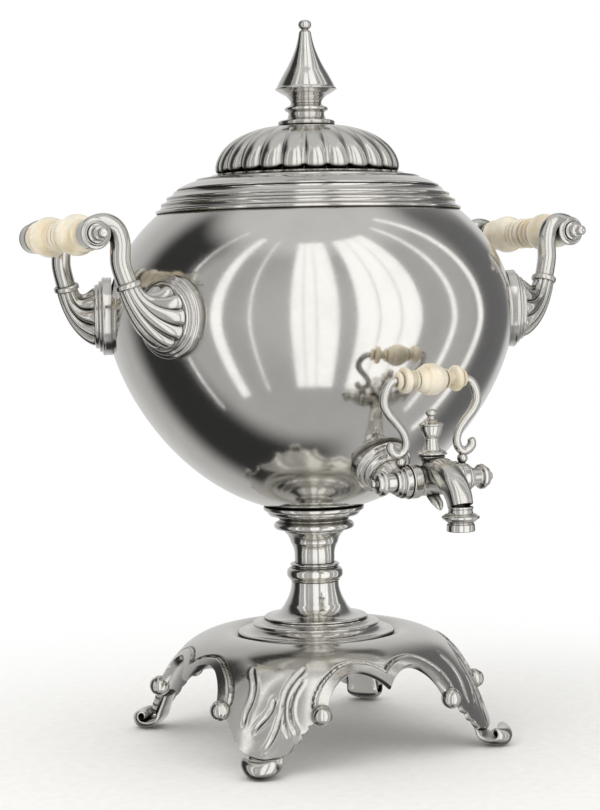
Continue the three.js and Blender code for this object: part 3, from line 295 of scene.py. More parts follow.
def turned(moves, sides, softness, origin, out):
    """Solid turned about an axis: a moulding softened by a (step, radius), capped, revolved and placed."""
    return placed(revolved(capped(softened(moulding(*moves), *softness)), sides), origin, out)


def signed(surface, sign_x, sign_y=1):
    """Mirror image of a surface by signs of 1 or -1."""
    return surface[0] * np.array([sign_x, sign_y, 1]), surface[1]


# Finishes of the new pieces, and the slot named for each.
PLATE, CAST, IVORY = "silver_plate_polished", "silver_plate_cast", "ivory_turned"
SLOTS = {PLATE: "silver_plate", CAST: "cast_plate", IVORY: "ivory"}
# Angles in degrees past which an edge stays sharp.
TURNED_CREASE, CAST_CREASE, RELIEF_CREASE = 38, 50, 60
# Step between the points of a turned piece's profile, and radius of its rounded corners.
PLAIN_SOFT, SMALL_SOFT, FINE_SOFT = (0.3, 0.2), (0.25, 0.15), (0.2, 0.15)
TAP_SOFT, NOZZLE_SOFT, GRIP_SOFT, FINIAL_SOFT = (0.22, 0.15), (0.25, 0.18), (0.3, 0.25), (0.25, 0.22)


def add_piece(name, surface, finish_name, replaced, body="urn", crease=TURNED_CREASE, slot=None):
    """Puts a surface made in millimetres about the urn's axis into the frame as one mesh object. Doubled
    points at poles are merged, faces turned outwards, and edges past the crease angle kept sharp. A slot, the
    one given or else its finish's own, is worked out but not put on the piece."""
    points, faces = surface
    points = (points + np.array([0, AXIS_Y, 0])) * MM
    mesh = bpy.data.meshes.new(name)
    mesh.vertices.add(len(points))
    mesh.vertices.foreach_set("co", points.astype(np.float32).ravel())
    mesh.loops.add(faces.size)
    mesh.loops.foreach_set("vertex_index", faces.astype(np.int32).ravel())
    mesh.polygons.add(len(faces))
    mesh.polygons.foreach_set("loop_start", np.arange(0, faces.size, 4, dtype=np.int32))
    mesh.update(calc_edges=True)
    form = bmesh.new()
    form.from_mesh(mesh)
    bmesh.ops.remove_doubles(form, verts=form.verts, dist=1e-6)
    bmesh.ops.recalc_face_normals(form, faces=form.faces)
    form.to_mesh(mesh)
    form.free()
    mesh.polygons.foreach_set("use_smooth", np.ones(len(mesh.polygons), bool))
    mesh.set_sharp_from_angle(angle=math.radians(crease))
    mesh.materials.append(finish(finish_name))
    piece = bpy.data.objects.new(name, mesh)
    bpy.context.scene.collection.objects.link(piece)
    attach(piece, body)
    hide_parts(*replaced)
    slot = slot or SLOTS[finish_name]
    return piece


# Materials


def to_linear(hex_colour):
    """Turns an sRGB hex colour into the linear values that Blender's sockets take."""
    values = np.array([int(hex_colour[i:i + 2], 16) for i in (1, 3, 5)]) / 255
    linear = np.where(values <= 0.04045, values / 12.92, ((values + 0.055) / 1.055) ** 2.4)
    return tuple(float(v) for v in linear)


def add_node(tree, kind, settings=None, **inputs):
    """Adds a node, named by its kind without ShaderNode, sets its own settings, and sets or links its inputs.
    An input that is a pair of a node and an output's name is linked, a key such as input_1 names an input by
    its number, and the setting stops gives a colour ramp its (place, linear colour) pairs."""
    node = tree.nodes.new(f"ShaderNode{kind}")
    for key, value in (settings or {}).items():
        if key == "stops":
            elements = node.color_ramp.elements
            while len(elements) < len(value):
                elements.new(0.5)
            for element, (place, colour) in zip(elements, value):
                element.position = place
                element.color = (*colour, 1)
        else:
            setattr(node, key, value)
    for key, value in inputs.items():
        socket = node.inputs[int(key[6:]) if key.startswith("input_") else key.replace("_", " ")]
        if isinstance(value, tuple) and len(value) == 2 and hasattr(value[0], "outputs"):
            tree.links.new(value[0].outputs[value[1]], socket)
        else:
            socket.default_value = value
    return node


def new_material(name):
    """An empty node material and its tree."""
    material = bpy.data.materials.new(name)
    material.use_nodes = True
    tree = material.node_tree
    tree.nodes.clear()
    return material, tree


def surfaced(tree, height, strength, depth_mm, **inputs):
    """Ends a tree with its shader, whose face a height moves by up to a depth in millimetres, and its
    output."""
    bump = add_node(tree, "Bump", Strength=strength, Distance=depth_mm * MM, Height=height)
    shader = add_node(tree, "BsdfPrincipled", Normal=(bump, "Normal"), **inputs)
    add_node(tree, "OutputMaterial", Surface=(shader, "BSDF"))


def per_metre(size_mm):
    """Pattern scale whose features are about this many millimetres across, on coordinates in metres."""
    return 1 / (size_mm * MM)


def silver_material(name, bright, tarnish_and_shade, roughness, tarnish_and_shade_reach, planish):
    """Polished silver plate. The eye gets near-mirror reflections that waver a little with the hammered
    sheet, fine wipe marks in the gloss, and a warm grey in the recesses, set by their ambient occlusion:
    painted shade, together with the tarnish that a cloth can't reach, which also lies in random patches."""
    material, tree = new_material(name)
    place = (add_node(tree, "TexCoord"), "Object")
    # Ambient occlusion darkens the recesses towards the tarnish colour: painted shade, with real tarnish
    # there too.
    recess = add_node(tree, "AmbientOcclusion", {"samples": 8}, Distance=tarnish_and_shade_reach * MM)
    cloud = add_node(tree, "TexNoise", Vector=place, Scale=per_metre(24), Detail=5.0, Roughness=0.6)
    speck = add_node(tree, "TexNoise", Vector=place, Scale=per_metre(1.6), Detail=3.0)
    waver = add_node(tree, "TexNoise", Vector=place, Scale=per_metre(34), Detail=1.0)
    open_face = add_node(tree, "ValToRGB", {"stops": ((0.35, BLACK), (0.9, WHITE))}, Fac=(recess, "AO"))
    uneven = add_node(
        tree, "Math", {"operation": "MULTIPLY_ADD"}, input_0=(cloud, "Fac"), input_1=0.24, input_2=-0.1
    )
    clean_and_unshaded = add_node(
        tree, "Math", {"operation": "SUBTRACT", "use_clamp": True}, input_0=(open_face, "Color"),
        input_1=(uneven, "Value"),
    )
    # Bright where open, and the tarnish colour where recesses are occluded or tarnish patches lie: painted
    # shade and tarnish.
    colour = add_node(
        tree, "Mix", {"data_type": "RGBA"}, input_0=(clean_and_unshaded, "Value"), input_6=(*to_linear(tarnish_and_shade), 1),
        input_7=(*to_linear(bright), 1),
    )
    wiped = add_node(
        tree, "MapRange", Value=(speck, "Fac"), From_Min=0.3, From_Max=0.75, To_Min=roughness * 0.8,
        To_Max=roughness * 1.35,
    )
    gloss = add_node(tree, "MapRange", Value=(clean_and_unshaded, "Value"), To_Min=0.22, To_Max=0.0)
    rough = add_node(
        tree, "Math", {"operation": "ADD"}, input_0=(wiped, "Result"), input_1=(gloss, "Result")
    )
    surfaced(tree, (waver, "Fac"), planish, 0.3, Base_Color=(colour, 2), Metallic=1.0,
             Roughness=(rough, "Value"))
    return material


def ivory_material(name, pale, warm, line):
    """Turned and polished ivory. The eye gets a soft waxy white with faint streaks along the tusk, darker and
    warmer in the turned grooves by how occluded they are, under an even hand polish."""
    material, tree = new_material(name)
    place = (add_node(tree, "TexCoord"), "Object")
    # Growth lines are about half a millimetre apart; they are drawn as wavy streaks 4 pi, or 12.6, mm apart,
    # so that they show. A wave of scale one has a line every pi / 10.
    streak = add_node(
        tree, "TexWave", {"wave_type": "RINGS", "rings_direction": "Z"}, Vector=place,
        Scale=per_metre(4 * math.pi) * math.pi / 10, Distortion=5.0, Detail=3.0, Detail_Scale=2.0,
    )
    cloud = add_node(tree, "TexNoise", Vector=place, Scale=per_metre(14), Detail=4.0)
    recess = add_node(tree, "AmbientOcclusion", {"samples": 8}, Distance=4 * MM)
    base = add_node(
        tree, "ValToRGB", {"stops": ((0.3, to_linear(warm)), (0.62, to_linear(pale)))}, Fac=(cloud, "Fac")
    )
    lined = add_node(
        tree, "Mix", {"data_type": "RGBA", "blend_type": "MULTIPLY"}, input_0=0.16,
        input_6=(base, "Color"), input_7=(streak, "Color"),
    )
    # Ambient occlusion makes the turned grooves darker and browner.
    groove_darkening = add_node(
        tree, "ValToRGB", {"stops": ((0.3, to_linear(line)), (0.75, WHITE))}, Fac=(recess, "AO")
    )
    colour = add_node(
        tree, "Mix", {"data_type": "RGBA", "blend_type": "MULTIPLY"}, input_0=0.9,
        input_6=(lined, 2), input_7=(groove_darkening, "Color"),
    )
    polish = add_node(
        tree, "MapRange", Value=(cloud, "Fac"), From_Min=0.3, From_Max=0.7, To_Min=0.2, To_Max=0.32
    )
    surfaced(tree, (streak, "Fac"), 0.12, 0.1, Base_Color=(colour, 2), Roughness=(polish, "Result"),
             Subsurface_Weight=0.12, Subsurface_Scale=1.5 * MM, Coat_Weight=0.3, Coat_Roughness=0.12)
    return material


def plain_metal_material(name, bright, dull, roughness, grain_mm):
    """Unplated metal fittings inside. The eye gets tool marks and patches of dull oxide."""
    material, tree = new_material(name)
    place = (add_node(tree, "TexCoord"), "Object")
    patch = add_node(tree, "TexNoise", Vector=place, Scale=per_metre(9), Detail=6.0, Roughness=0.65)
    grain = add_node(tree, "TexNoise", Vector=place, Scale=per_metre(grain_mm), Detail=3.0)
    colour = add_node(
        tree, "ValToRGB", {"stops": ((0.35, to_linear(dull)), (0.65, to_linear(bright)))}, Fac=(patch, "Fac")
    )
    rough = add_node(
        tree, "MapRange", Value=(patch, "Fac"), From_Min=0.3, From_Max=0.7, To_Min=roughness * 1.4,
        To_Max=roughness,
    )
    surfaced(tree, (grain, "Fac"), 0.35, 0.15, Base_Color=(colour, "Color"), Metallic=1.0,
             Roughness=(rough, "Result"))
    return material


def leather_material(name, face, pore):
    """Waxed leather sealing ring. The eye gets a pebbled brown with darker pores."""
    material, tree = new_material(name)
    place = (add_node(tree, "TexCoord"), "Object")
    cell = add_node(tree, "TexVoronoi", Vector=place, Scale=per_metre(1.2))
    colour = add_node(
        tree, "ValToRGB", {"stops": ((0.1, to_linear(pore)), (0.5, to_linear(face)))}, Fac=(cell, "Distance")
    )
    surfaced(tree, (cell, "Distance"), 0.5, 0.2, Base_Color=(colour, "Color"), Roughness=0.7)
    return material


def finish(name):
    """The named finish, made once and then shared."""
    polish = bpy.context.scene.tea_urn.polish
    recipes = {
        # The second colour of each silver finish fills its occluded recesses: tarnish and painted shade.
        PLATE: (silver_material, "#DCDAD5", "#6E6860", polish, 5.0, 0.05),
        CAST: (silver_material, "#D6D4CE", "#4E4841", polish * 1.5, 6.0, 0.12),
        # The ivory's last colour darkens its grooves by their occlusion.
        IVORY: (ivory_material, "#F1E9D6", "#E2D3B2", "#8F7248"),
        "brass_turned": (plain_metal_material, "#C8A25C", "#8C6B36", 0.3, 0.8),
        "iron_cast": (plain_metal_material, "#4A4643", "#2C2826", 0.55, 1.6),
        "leather_waxed": (leather_material, "#6B4A30", "#3A2617"),
    }
    make, *values = recipes[name]
    made = bpy.data.materials.get(name)
    return made if made else make(name, *values)


# Pieces

# Base, in millimetres.
BASE_SEAT = 63.8
BASE_WALL = 3.2
BASE_MIDDLE = np.array([0, 0, 20.0])
ROD_BORE = 3.6
ARCH_SPAN = 18.0
ARCH_TOP = 54.0
ARCH_CUSP = 44.6
CURL_SPAN = 42.6
CURL_HEIGHT = 32.8
CURL_RADIUS = 6.1
FOOT_WIDTH = 21.0
FOOT_REACH = 120.4
FOOT_ROLL = 6.3
FOOT_HALF_DEPTH = 2.3
SOLE_LIFT = 0.1
TIP_DROP = 2.4
EDGE_BULGE = 0.7

# Points of the base's sheet: across half an apron, down a leg's tip, along the fall, and up the inner wall.
# Then the points round a foot or a curl.
HALF_COLUMNS = 100
TIP_COLUMNS = 14
BASE_ROWS = 70
INNER_ROWS = 9
SCROLL_SIDES = 32

# Fall of the base from its seat to its hem: radius and height.
FALL = ((47.6, 63.8), (54.8, 65.9), (66.0, 64.0), (76.5, 58.8), (84.0, 51.4), (91.0, 41.0), (96.5, 30.0),
        (101.0, 20.0), (104.6, 12.0), (106.0, 6.0))
# Cut edge of a leg below the curl: distance from the apron's middle, height, and bulge of each scallop.
LEG_EDGE = ((50.6, 27.6, 0.1), (54.9, 23.4, 0.4), (59.3, 18.2, 0.4), (66.0, 12.2, 0.2))
# Share of an eighth of the seat that the columns take up, from the apron's middle to the leg's.
SEAT_SPREAD = ((0, 0), (0.3, 0.36), (0.52, 0.7), (0.8, 0.9), (1, 1))
# Width of the raised band along an apron's edge, from the cusp to the curl.
BAND_WIDTH = ((0, 8.0), (0.12, 6.8), (0.6, 6.8), (0.86, 8.6), (0.95, 8.2), (1, 4.6))
# Lines sunk beside and on the band: share of its width, distance past that, depth, and width.
BAND_LINES = ((0.82, 0, 0.7, 0.42), (1, 0.5, 0.9, 0.6))
# Carved lines of a leg as (lateral place, height) points from the leg's centre line.
LEG_LINES = (
    ((16.0, 55.5), (12.5, 51.0), (9.1, 45.3), (8.0, 39.7), (7.5, 33.7), (6.3, 26.6), (3.9, 20.0),
     (0.0, 13.2)),
    ((16.0, 49.9), (13.6, 45.3), (12.4, 40.4), (12.5, 33.7), (14.7, 28.0), (17.7, 24.4)),
    ((8.8, 38.0), (9.3, 31.0), (11.2, 25.5), (13.6, 21.6)),
    ((2.6, 40.0), (2.0, 36.0), (-0.5, 31.6), (-3.9, 28.0), (-7.1, 23.7)),
    ((-13.5, 54.0), (-10.6, 47.0), (-10.8, 40.0), (-13.2, 33.0), (-14.0, 27.0)),
)
# Profile across a carved line: distance from its middle, height, and width of each swell.
LEG_LINE_SWELLS = ((0, -1.1, 0.75), (2.0, 0.3, 0.9))
# Half width of the step at the band's side. Distance from an apron's edge where the leg's lines are half
# up, and the half width of that rise.
BAND_STEP = 0.35
LINES_START, LINES_RISE = 8, 1.2
# Groove round a curl's ball: depth as a share of the radius, and latitude and width in radians.
CURL_GROOVE = (0.06, 0.55, 0.12)
# Foot's line from the leg to its sole: radius and height. Then how far the sole reaches in from the roll's
# middle, the angle at which the roll ends, and its radius there.
FOOT_LINE = ((96.4, 21.4), (99.5, 13.4), (103.2, 5.6))
SOLE_REACH = 3.4
ROLL_END = np.pi * 1.35
ROLL_CORE = 1.6
# Foot along its strip: half width, half depth, and how far the side edges lie further in than the middle,
# flat against the leg and bowed at the roll.
FOOT_HALF_WIDTHS = ((0, 9.2), (0.2, 10.0), (0.42, FOOT_WIDTH / 2), (0.8, FOOT_WIDTH / 2), (1, 8.0))
FOOT_HALF_DEPTHS = ((0, 2.2), (0.5, FOOT_HALF_DEPTH), (0.9, 1.9), (1, 1.2))
FOOT_BOW = ((0, 0.6), (0.28, 0.8), (0.62, 4.0), (1, 4.0))


def fall_at(height):
    """Radius of the base's fall at a height below its shoulder."""
    curve = smooth_curve(FALL, 200)
    low = curve[np.argmax(curve[:, 1]):][::-1]
    return np.interp(height, low[:, 1], low[:, 0])


def apron_edge(count):
    """Half of an opening's edge as (distance from the apron's middle, height): arch, drop, and leg edge.
    Also gives the number of points on the arch and the drop, which carry the raised band."""
    share = np.linspace(0, 1, 60)[:, None]
    start, top = np.array([0, ARCH_CUSP]), np.array([ARCH_SPAN, ARCH_TOP])
    ease = np.array([ARCH_SPAN * 0.42, ARCH_TOP])
    rise = (1 - share) ** 2 * start + 2 * share * (1 - share) * ease + share ** 2 * top
    inner = CURL_SPAN - CURL_RADIUS + 0.6
    one, two = np.array([ARCH_SPAN * 1.45, ARCH_TOP]), np.array([inner, CURL_HEIGHT + 2 * CURL_RADIUS])
    foot = np.array([inner + 2.4, CURL_HEIGHT + 1])
    drop = cubic(share, top, one, two, foot)
    leg_count = count * 2 // 5
    band = resampled(np.vstack([rise, drop[1:]]), count - leg_count)
    leg = resampled(moulding(tuple(foot), *LEG_EDGE), leg_count + 1)
    return np.vstack([band, leg[1:]]), len(band)


def distance_to(points, line):
    """Least distance from each point to a line of points, and the share of the line where it is."""
    line = resampled(np.array(line, float), 70)
    gap = np.linalg.norm(points[:, None] - line[None], axis=2)
    nearest = gap.argmin(axis=1)
    return gap[np.arange(len(points)), nearest], nearest / (len(line) - 1)


def carving(smooth, lateral, band_count, relief):
    """Height of the carving over each point of the base's smooth face. It is the raised band along an
    apron's edge, a soft step in the distance from that edge, with bell-shaped lines sunk by it, and past the
    band the carved lines of the leg, each a bell-shaped groove with a low ridge beside it."""
    flat = smooth.reshape(-1, 3)
    arch = smooth[-1, :band_count]
    (one, one_at), (two, two_at) = (distance_to(flat, arch * np.array([1, sign, 1])) for sign in (1, -1))
    near = np.minimum(one, two)
    band = table(np.where(one < two, one_at, two_at), BAND_WIDTH)
    lift = relief * 0.5 * (1 - np.tanh((near - band) / BAND_STEP))
    for share, past, depth, width in BAND_LINES:
        lift = lift - depth * bell(near - band * share - past, width)
    clear_of_band = 0.5 * (1 + np.tanh((near - LINES_START) / LINES_RISE))
    for line in LEG_LINES:
        gap, at = distance_to(lateral.reshape(-1, 2), smooth_curve(line, 60))
        taper = np.sin(np.pi * np.clip(at * 0.86 + 0.12, 0, 1)) ** 0.6
        groove = sum(height * bell(gap - off, width) for off, height, width in LEG_LINE_SWELLS)
        lift = lift + taper * groove * clear_of_band
    return lift.reshape(smooth.shape[:2])[..., None]


def base_sheet(relief):
    """Cast base as one closed sheet. Each column of points runs from the bore over the seat and down the fall
    to the cut edge, straight in the chart of angle and fall length, then back up the inner wall. The outer
    face is moved along its normal by the carving."""
    edge, band_count = apron_edge(HALF_COLUMNS)
    fall = smooth_curve(FALL, 240)
    length = np.concatenate([[0], np.cumsum(np.linalg.norm(np.diff(fall, axis=0), axis=1))])
    crest = np.argmax(fall[:, 1])
    edge_length = np.interp(edge[:, 1], fall[crest:, 1][::-1], length[crest:][::-1])
    edge_angle = np.pi / 4 - np.arcsin(edge[:, 0] / fall_at(edge[:, 1]))
    tip = np.linspace(0, 1, TIP_COLUMNS + 1)[1:]
    edge_angle = np.concatenate([edge_angle, edge_angle[-1] * (1 - tip)])
    edge_length = np.concatenate([edge_length, edge_length[-1] + TIP_DROP * np.sin(tip * np.pi / 2)])
    share = np.linspace(0, 1, len(edge_angle))
    half = np.stack([np.pi / 4 * (1 - table(share, SEAT_SPREAD)), edge_angle])
    seat_angle, cut_angle = np.concatenate([half[:, :-1], -half[:, ::-1][:, :-1]], axis=1)
    lengths = np.concatenate([edge_length[:-1], edge_length[::-1][:-1]])
    down = np.linspace(0, 1, BASE_ROWS)[:, None] ** 0.9
    angle = seat_angle + (cut_angle - seat_angle) * down
    radius, height = (np.interp(lengths * down, length, fall[:, i]) for i in (0, 1))
    smooth = around(radius, angle, height)
    normal = np.cross(np.gradient(smooth, axis=1), np.gradient(smooth, axis=0))
    normal /= np.maximum(np.linalg.norm(normal, axis=2, keepdims=True), 1e-9)
    normal *= np.sign((normal * (smooth - BASE_MIDDLE)).sum(axis=2, keepdims=True))
    lateral = np.stack([radius * np.sin(angle), height], axis=-1)
    lift = carving(smooth, lateral, band_count, relief)
    outer = smooth + normal * lift * np.minimum(down * 6, 1)[..., None]
    backed = smooth - normal * BASE_WALL
    inner = backed[(np.linspace(1, 0, INNER_ROWS) * (BASE_ROWS - 1)).astype(int)]
    rim = (outer[-1] + backed[-1]) / 2 + unit(smooth[-1] - smooth[-2]) * EDGE_BULGE
    bore = around(ROD_BORE, seat_angle, BASE_SEAT)
    quarter = np.concatenate([bore[None], outer, rim[None], inner, bore[None] - np.array([0, 0, BASE_WALL])])
    whole = [quarter @ turn_z(math.pi / 4 - k * math.pi / 2) for k in range(4)]
    return skin(np.concatenate(whole, axis=1), closed=True)


def turn_z(angle):
    """Matrix that turns row vectors about Z by an angle."""
    cos, sin = math.cos(angle), math.sin(angle)
    return np.array([[cos, sin, 0], [-sin, cos, 0], [0, 0, 1]])


def curl_ball(radius):
    """Ball at an apron's curl, with a shallow groove round it: a sphere whose radius dips along one
    circle."""
    latitude = np.linspace(-np.pi / 2, np.pi / 2, 29)
    depth, place, width = CURL_GROOVE
    dip = radius * (1 - depth * bell(latitude - place, width))
    return revolved(np.stack([dip * np.cos(latitude), dip * np.sin(latitude)], axis=1), SCROLL_SIDES)


def scroll_foot():
    """Foot that rolls outwards: a flat strip carried along a spiral, bowed so that its side edges lie further
    in than its middle."""
    centre = np.array([FOOT_REACH - FOOT_ROLL, FOOT_ROLL])
    start = [*FOOT_LINE, (centre[0] - SOLE_REACH, FOOT_HALF_DEPTH)]
    turn = np.linspace(-np.pi / 2, ROLL_END, 46)
    spiral = np.interp(turn, (turn[0], turn[-1]), (FOOT_ROLL - FOOT_HALF_DEPTH, ROLL_CORE))
    roll = centre + np.stack([spiral * np.cos(turn), spiral * np.sin(turn)], axis=1)
    line = smooth_curve(np.vstack([start, roll]), 90)
    path = np.stack([line[:, 0], np.zeros(len(line)), line[:, 1]], axis=1)
    share = np.linspace(0, 1, len(path))
    width, depth = table(share, FOOT_HALF_WIDTHS), table(share, FOOT_HALF_DEPTHS)
    points, faces = carried(path, (0, 1, 0), width, depth, SCROLL_SIDES, power=2.3)
    bow = np.repeat(table(np.linspace(0, 1, len(path) + 2), FOOT_BOW), SCROLL_SIDES)
    off_middle = (points[:, 1] / (FOOT_WIDTH / 2)) ** 2
    points[:, 0] -= bow * off_middle
    points[:, 2] += 0.6 * bow * off_middle + SOLE_LIFT
    return points, faces


class TEA_URN_OT_base(bpy.types.Operator):
    """Cast base with its aprons, curls and scroll feet"""

    bl_idname = "tea_urn.base"
    bl_label = "Base"

    def execute(self, context):
        parts = [base_sheet(context.scene.tea_urn.band_relief)]
        curl_y = math.sqrt(fall_at(CURL_HEIGHT) ** 2 - CURL_SPAN ** 2)
        ball, foot = curl_ball(CURL_RADIUS), scroll_foot()
        for k in range(4):
            for sign in (-1, 1):
                points, faces = placed(ball, (sign * CURL_SPAN, -curl_y, CURL_HEIGHT), (sign * 0.3, -1, 0))
                parts.append((points @ turn_z(k * math.pi / 2), faces))
            parts.append((foot[0] @ turn_z(math.pi / 4 + k * math.pi / 2), foot[1]))
        add_piece("base", joined(*parts), CAST, ["base_casting"], crease=CAST_CREASE)
        return {"FINISHED"}


# Turned pieces of the stem: profile of (radius, height over the piece's floor, bulge) from below.
STEM = {
    "foot_moulding": ((46.8, 0), (46.8, 1.2, 0.4), (45.4, 1.7), (38.6, 4.6, -0.3), (37.6, 5.0),
                      (37.6, 6.4, 0.8), (35.4, 6.9), (33.2, 7.6, -0.3), (31.8, 7.8), (31.8, 8.6)),
    "lower_stem": ((30.9, 0), (30.9, 1.0, 0.5), (29.4, 1.5), (18.2, 8.8, -0.32), (14.4, 18.6, -0.1),
                   (14.2, 21.7)),
    "stem_knop": ((14.4, 0), (15.2, 1.0, 0.3), (15.2, 1.6), (16.8, 4.8, 0.36), (14.6, 8.2, 0.42),
                  (13.6, 8.4), (13.6, 9.2), (14.6, 9.6), (14.6, 10.6, 0.8), (13.4, 11.0)),
    "upper_stem": ((12.0, 0), (12.1, 3.4, -0.03), (14.2, 12.0, -0.16), (18.3, 19.0, -0.16), (18.4, 19.6)),
    "bowl_cup": ((18.8, 0), (22.2, 0.4), (22.4, 4.6, 0.9), (21.2, 5.2), (20.8, 6.2, -0.5),
                 (26.4, 8.6, -0.3), (28.2, 11.4, 0.2), (29.2, 11.8), (30.2, 12.6, 0.6), (30.2, 14.2, 0.2),
                 (27.4, 14.4)),
}


class TEA_URN_OT_stem(bpy.types.Operator):
    """Stepped foot ring, trumpet stem, knop, upper stem and the cup under the bowl"""

    bl_idname = "tea_urn.stem"
    bl_label = "Stem"

    def execute(self, context):
        for node, moves in STEM.items():
            outside = ring(softened(lifted(moulding(*moves), floor_of(node))), ROD_BORE)
            add_piece(f"{node}_turned", revolved(outside, sides=128, closed=True), PLATE, [node])
        return {"FINISHED"}


BOWL_ROWS = 90


def bowl_profile(wall=0.0):
    """Bowl's face moved in by a wall: a cubic curve below the widest point and an ellipse above it."""
    lower = cubic(
        np.linspace(0, 1, BOWL_ROWS)[:, None], np.array([0, BOWL_FLOOR]),
        np.array([BOWL_RADIUS * BOWL_EASE[0], BOWL_FLOOR]),
        np.array([BOWL_RADIUS, EQUATOR - BOWL_DEPTH * BOWL_EASE[1]]),
        np.array([BOWL_RADIUS, EQUATOR]),
    )
    angle = np.linspace(0, math.acos(BOWL_MOUTH / BOWL_RADIUS), BOWL_ROWS // 2)[1:]
    upper = np.stack([BOWL_RADIUS * np.cos(angle), EQUATOR + BOWL_RISE * np.sin(angle)], axis=1)
    outline = np.vstack([lower, upper])
    tangent = unit(np.gradient(outline, axis=0))
    inside = outline - wall * np.stack([tangent[:, 1], -tangent[:, 0]], axis=1)
    inside[0, 0] = 0
    return inside


def bowl_height_at(radius):
    """Height of the bowl's outer face at a radius, above its widest point."""
    return EQUATOR + BOWL_RISE * np.sqrt(1 - (radius / BOWL_RADIUS) ** 2)


class TEA_URN_OT_bowl(bpy.types.Operator):
    """Globe bowl, raised from sheet: its outer face, the turned-in mouth and its inner face"""

    bl_idname = "tea_urn.bowl"
    bl_label = "Bowl"

    def execute(self, context):
        profile = np.vstack([bowl_profile(), bowl_profile(BOWL_WALL)[::-1]])
        add_piece("bowl_globe", revolved(profile, sides=256), PLATE, ["bowl_lower", "bowl_upper"])
        return {"FINISHED"}


# Rim, in millimetres: how far it reaches past the mouth, and the wall and play of the bezel inside the mouth.
RIM_REACH = 13.6
BEZEL_WALL = 1.6
BEZEL_PLAY = 1.8
BEZEL_DEPTH = 8
# Rim's steps from outside: distance past the mouth, height over its foot, bulge.
RIM_STEPS = ((13.2, 0.4), (13.4, 2.4, 0.7), (12.0, 2.9), (10.6, 4.6, -0.25), (10.2, 5.0), (10.2, 6.6, 0.85),
             (9.0, 7.0), (7.2, 8.6, -0.3), (6.9, 8.8), (6.7, 10.4, 0.85), (5.2, 10.8))


class TEA_URN_OT_rim(bpy.types.Operator):
    """Stepped rim over the bowl's shoulder, with the bezel inside the mouth"""

    bl_idname = "tea_urn.rim"
    bl_label = "Rim"

    def execute(self, context):
        outer = BOWL_MOUTH + RIM_REACH
        low = bowl_height_at(outer) + GAP
        top = top_of("rim_collar")
        steps = [(BOWL_MOUTH + past, low + height, *bulge) for past, height, *bulge in RIM_STEPS]
        out = moulding(*steps, (BOWL_MOUTH + 2.8, top, -0.2))
        face = BOWL_MOUTH - BEZEL_PLAY
        mouth = bowl_height_at(BOWL_MOUTH)
        sleeve = [(face - BEZEL_WALL, top), (face - BEZEL_WALL, mouth - BEZEL_DEPTH),
                  (face, mouth - BEZEL_DEPTH), (face, mouth + GAP)]
        radius = np.linspace(BOWL_MOUTH + 0.2, outer - 1.2, 10)
        seat = np.stack([radius, bowl_height_at(radius) + GAP], axis=1)
        profile = np.vstack([softened(out), sleeve, seat])
        add_piece("rim_steps", revolved(profile, sides=224, closed=True), PLATE, ["rim_collar"])
        return {"FINISHED"}


# Lid's skirt from outside, and back along its inner side: radius, height over its floor, bulge.
SKIRT = ((77.4, 0), (77.8, 1.5, 0.8), (75.8, 2.3), (68.0, 5.6, 0.06), (66.6, 6.0), (65.8, 7.0, 0.8),
         (64.0, 7.2), (56.6, 9.3, -0.08))
SKIRT_INSIDE = ((50, 9.4), (50, 7.6), (62, 6.0))
# Flange inside the bezel, in millimetres, and the dome on the skirt.
FLANGE_PLAY = 1.2
FLANGE_WALL = 1.8
FLANGE_DEPTH = 7
DOME_RADIUS = 55.0
# Dome's side from its hem: shares of its radius and of its height.
DOME_SIDE = ((0.93, -0.0), (0.985, 0.035), (1.0, 0.12), (0.965, 0.36), (0.86, 0.62), (0.69, 0.83),
             (0.47, 0.965), (0.3, 1.0))
DOME_BORE = 2.7
DOME_WALL = 1.8
# Gadroons: points across a lobe, width of the fillet in a valley as a share of half a lobe, its height, and
# how far the hem dips, over which share of the dome's height.
LOBE_COLUMNS = 24
FILLET_WIDTH = 0.075
FILLET_RISE = 0.9
HEM_DIP = 2.6
HEM_SHARE = 0.22


def gadrooned_dome(settings):
    """Gadrooned dome. The radius is the dome's side less a relief that follows the round of each lobe,
    1 - sqrt(1 - x^2) with x from -1 to 1 across the lobe, deepest at the hem and fading to the top. The hem
    dips with each lobe, and a thin fillet stands in the valley between two."""
    floor, top = floor_of("lid_dome"), top_of("lid_dome")
    lobes = settings.lobes
    side = smooth_curve(DOME_SIDE, 76)
    angle = round_angles(lobes * LOBE_COLUMNS)
    across = 2 * ((angle * lobes / (2 * np.pi)) % 1) - 1
    round_over = 1 - np.sqrt(1 - np.clip(np.abs(across), 0, 0.97) ** 2)
    fillet = bell(1 - np.abs(across), FILLET_WIDTH)
    out, rise = side[:, :1], side[:, 1:]
    fade = np.clip(1 - rise ** 5, 0, 1) * np.clip(out, 0, 1) ** 0.4
    relief = fade * (settings.gadroon_relief * round_over - FILLET_RISE * fillet)
    hem = HEM_DIP * round_over * np.clip(1 - rise / HEM_SHARE, 0, 1) ** 1.5
    outer = around(out * DOME_RADIUS - relief, angle, floor + rise * (top - floor) + hem)
    inside = ((DOME_BORE, top), (DOME_BORE, top - DOME_WALL), (17, top - DOME_WALL), (37, floor + 19),
              (47, floor + 6), (48.5, floor))
    inner = [around(radius, angle, height)[None] for radius, height in inside]
    return skin(np.concatenate([outer, *inner]), closed=True)


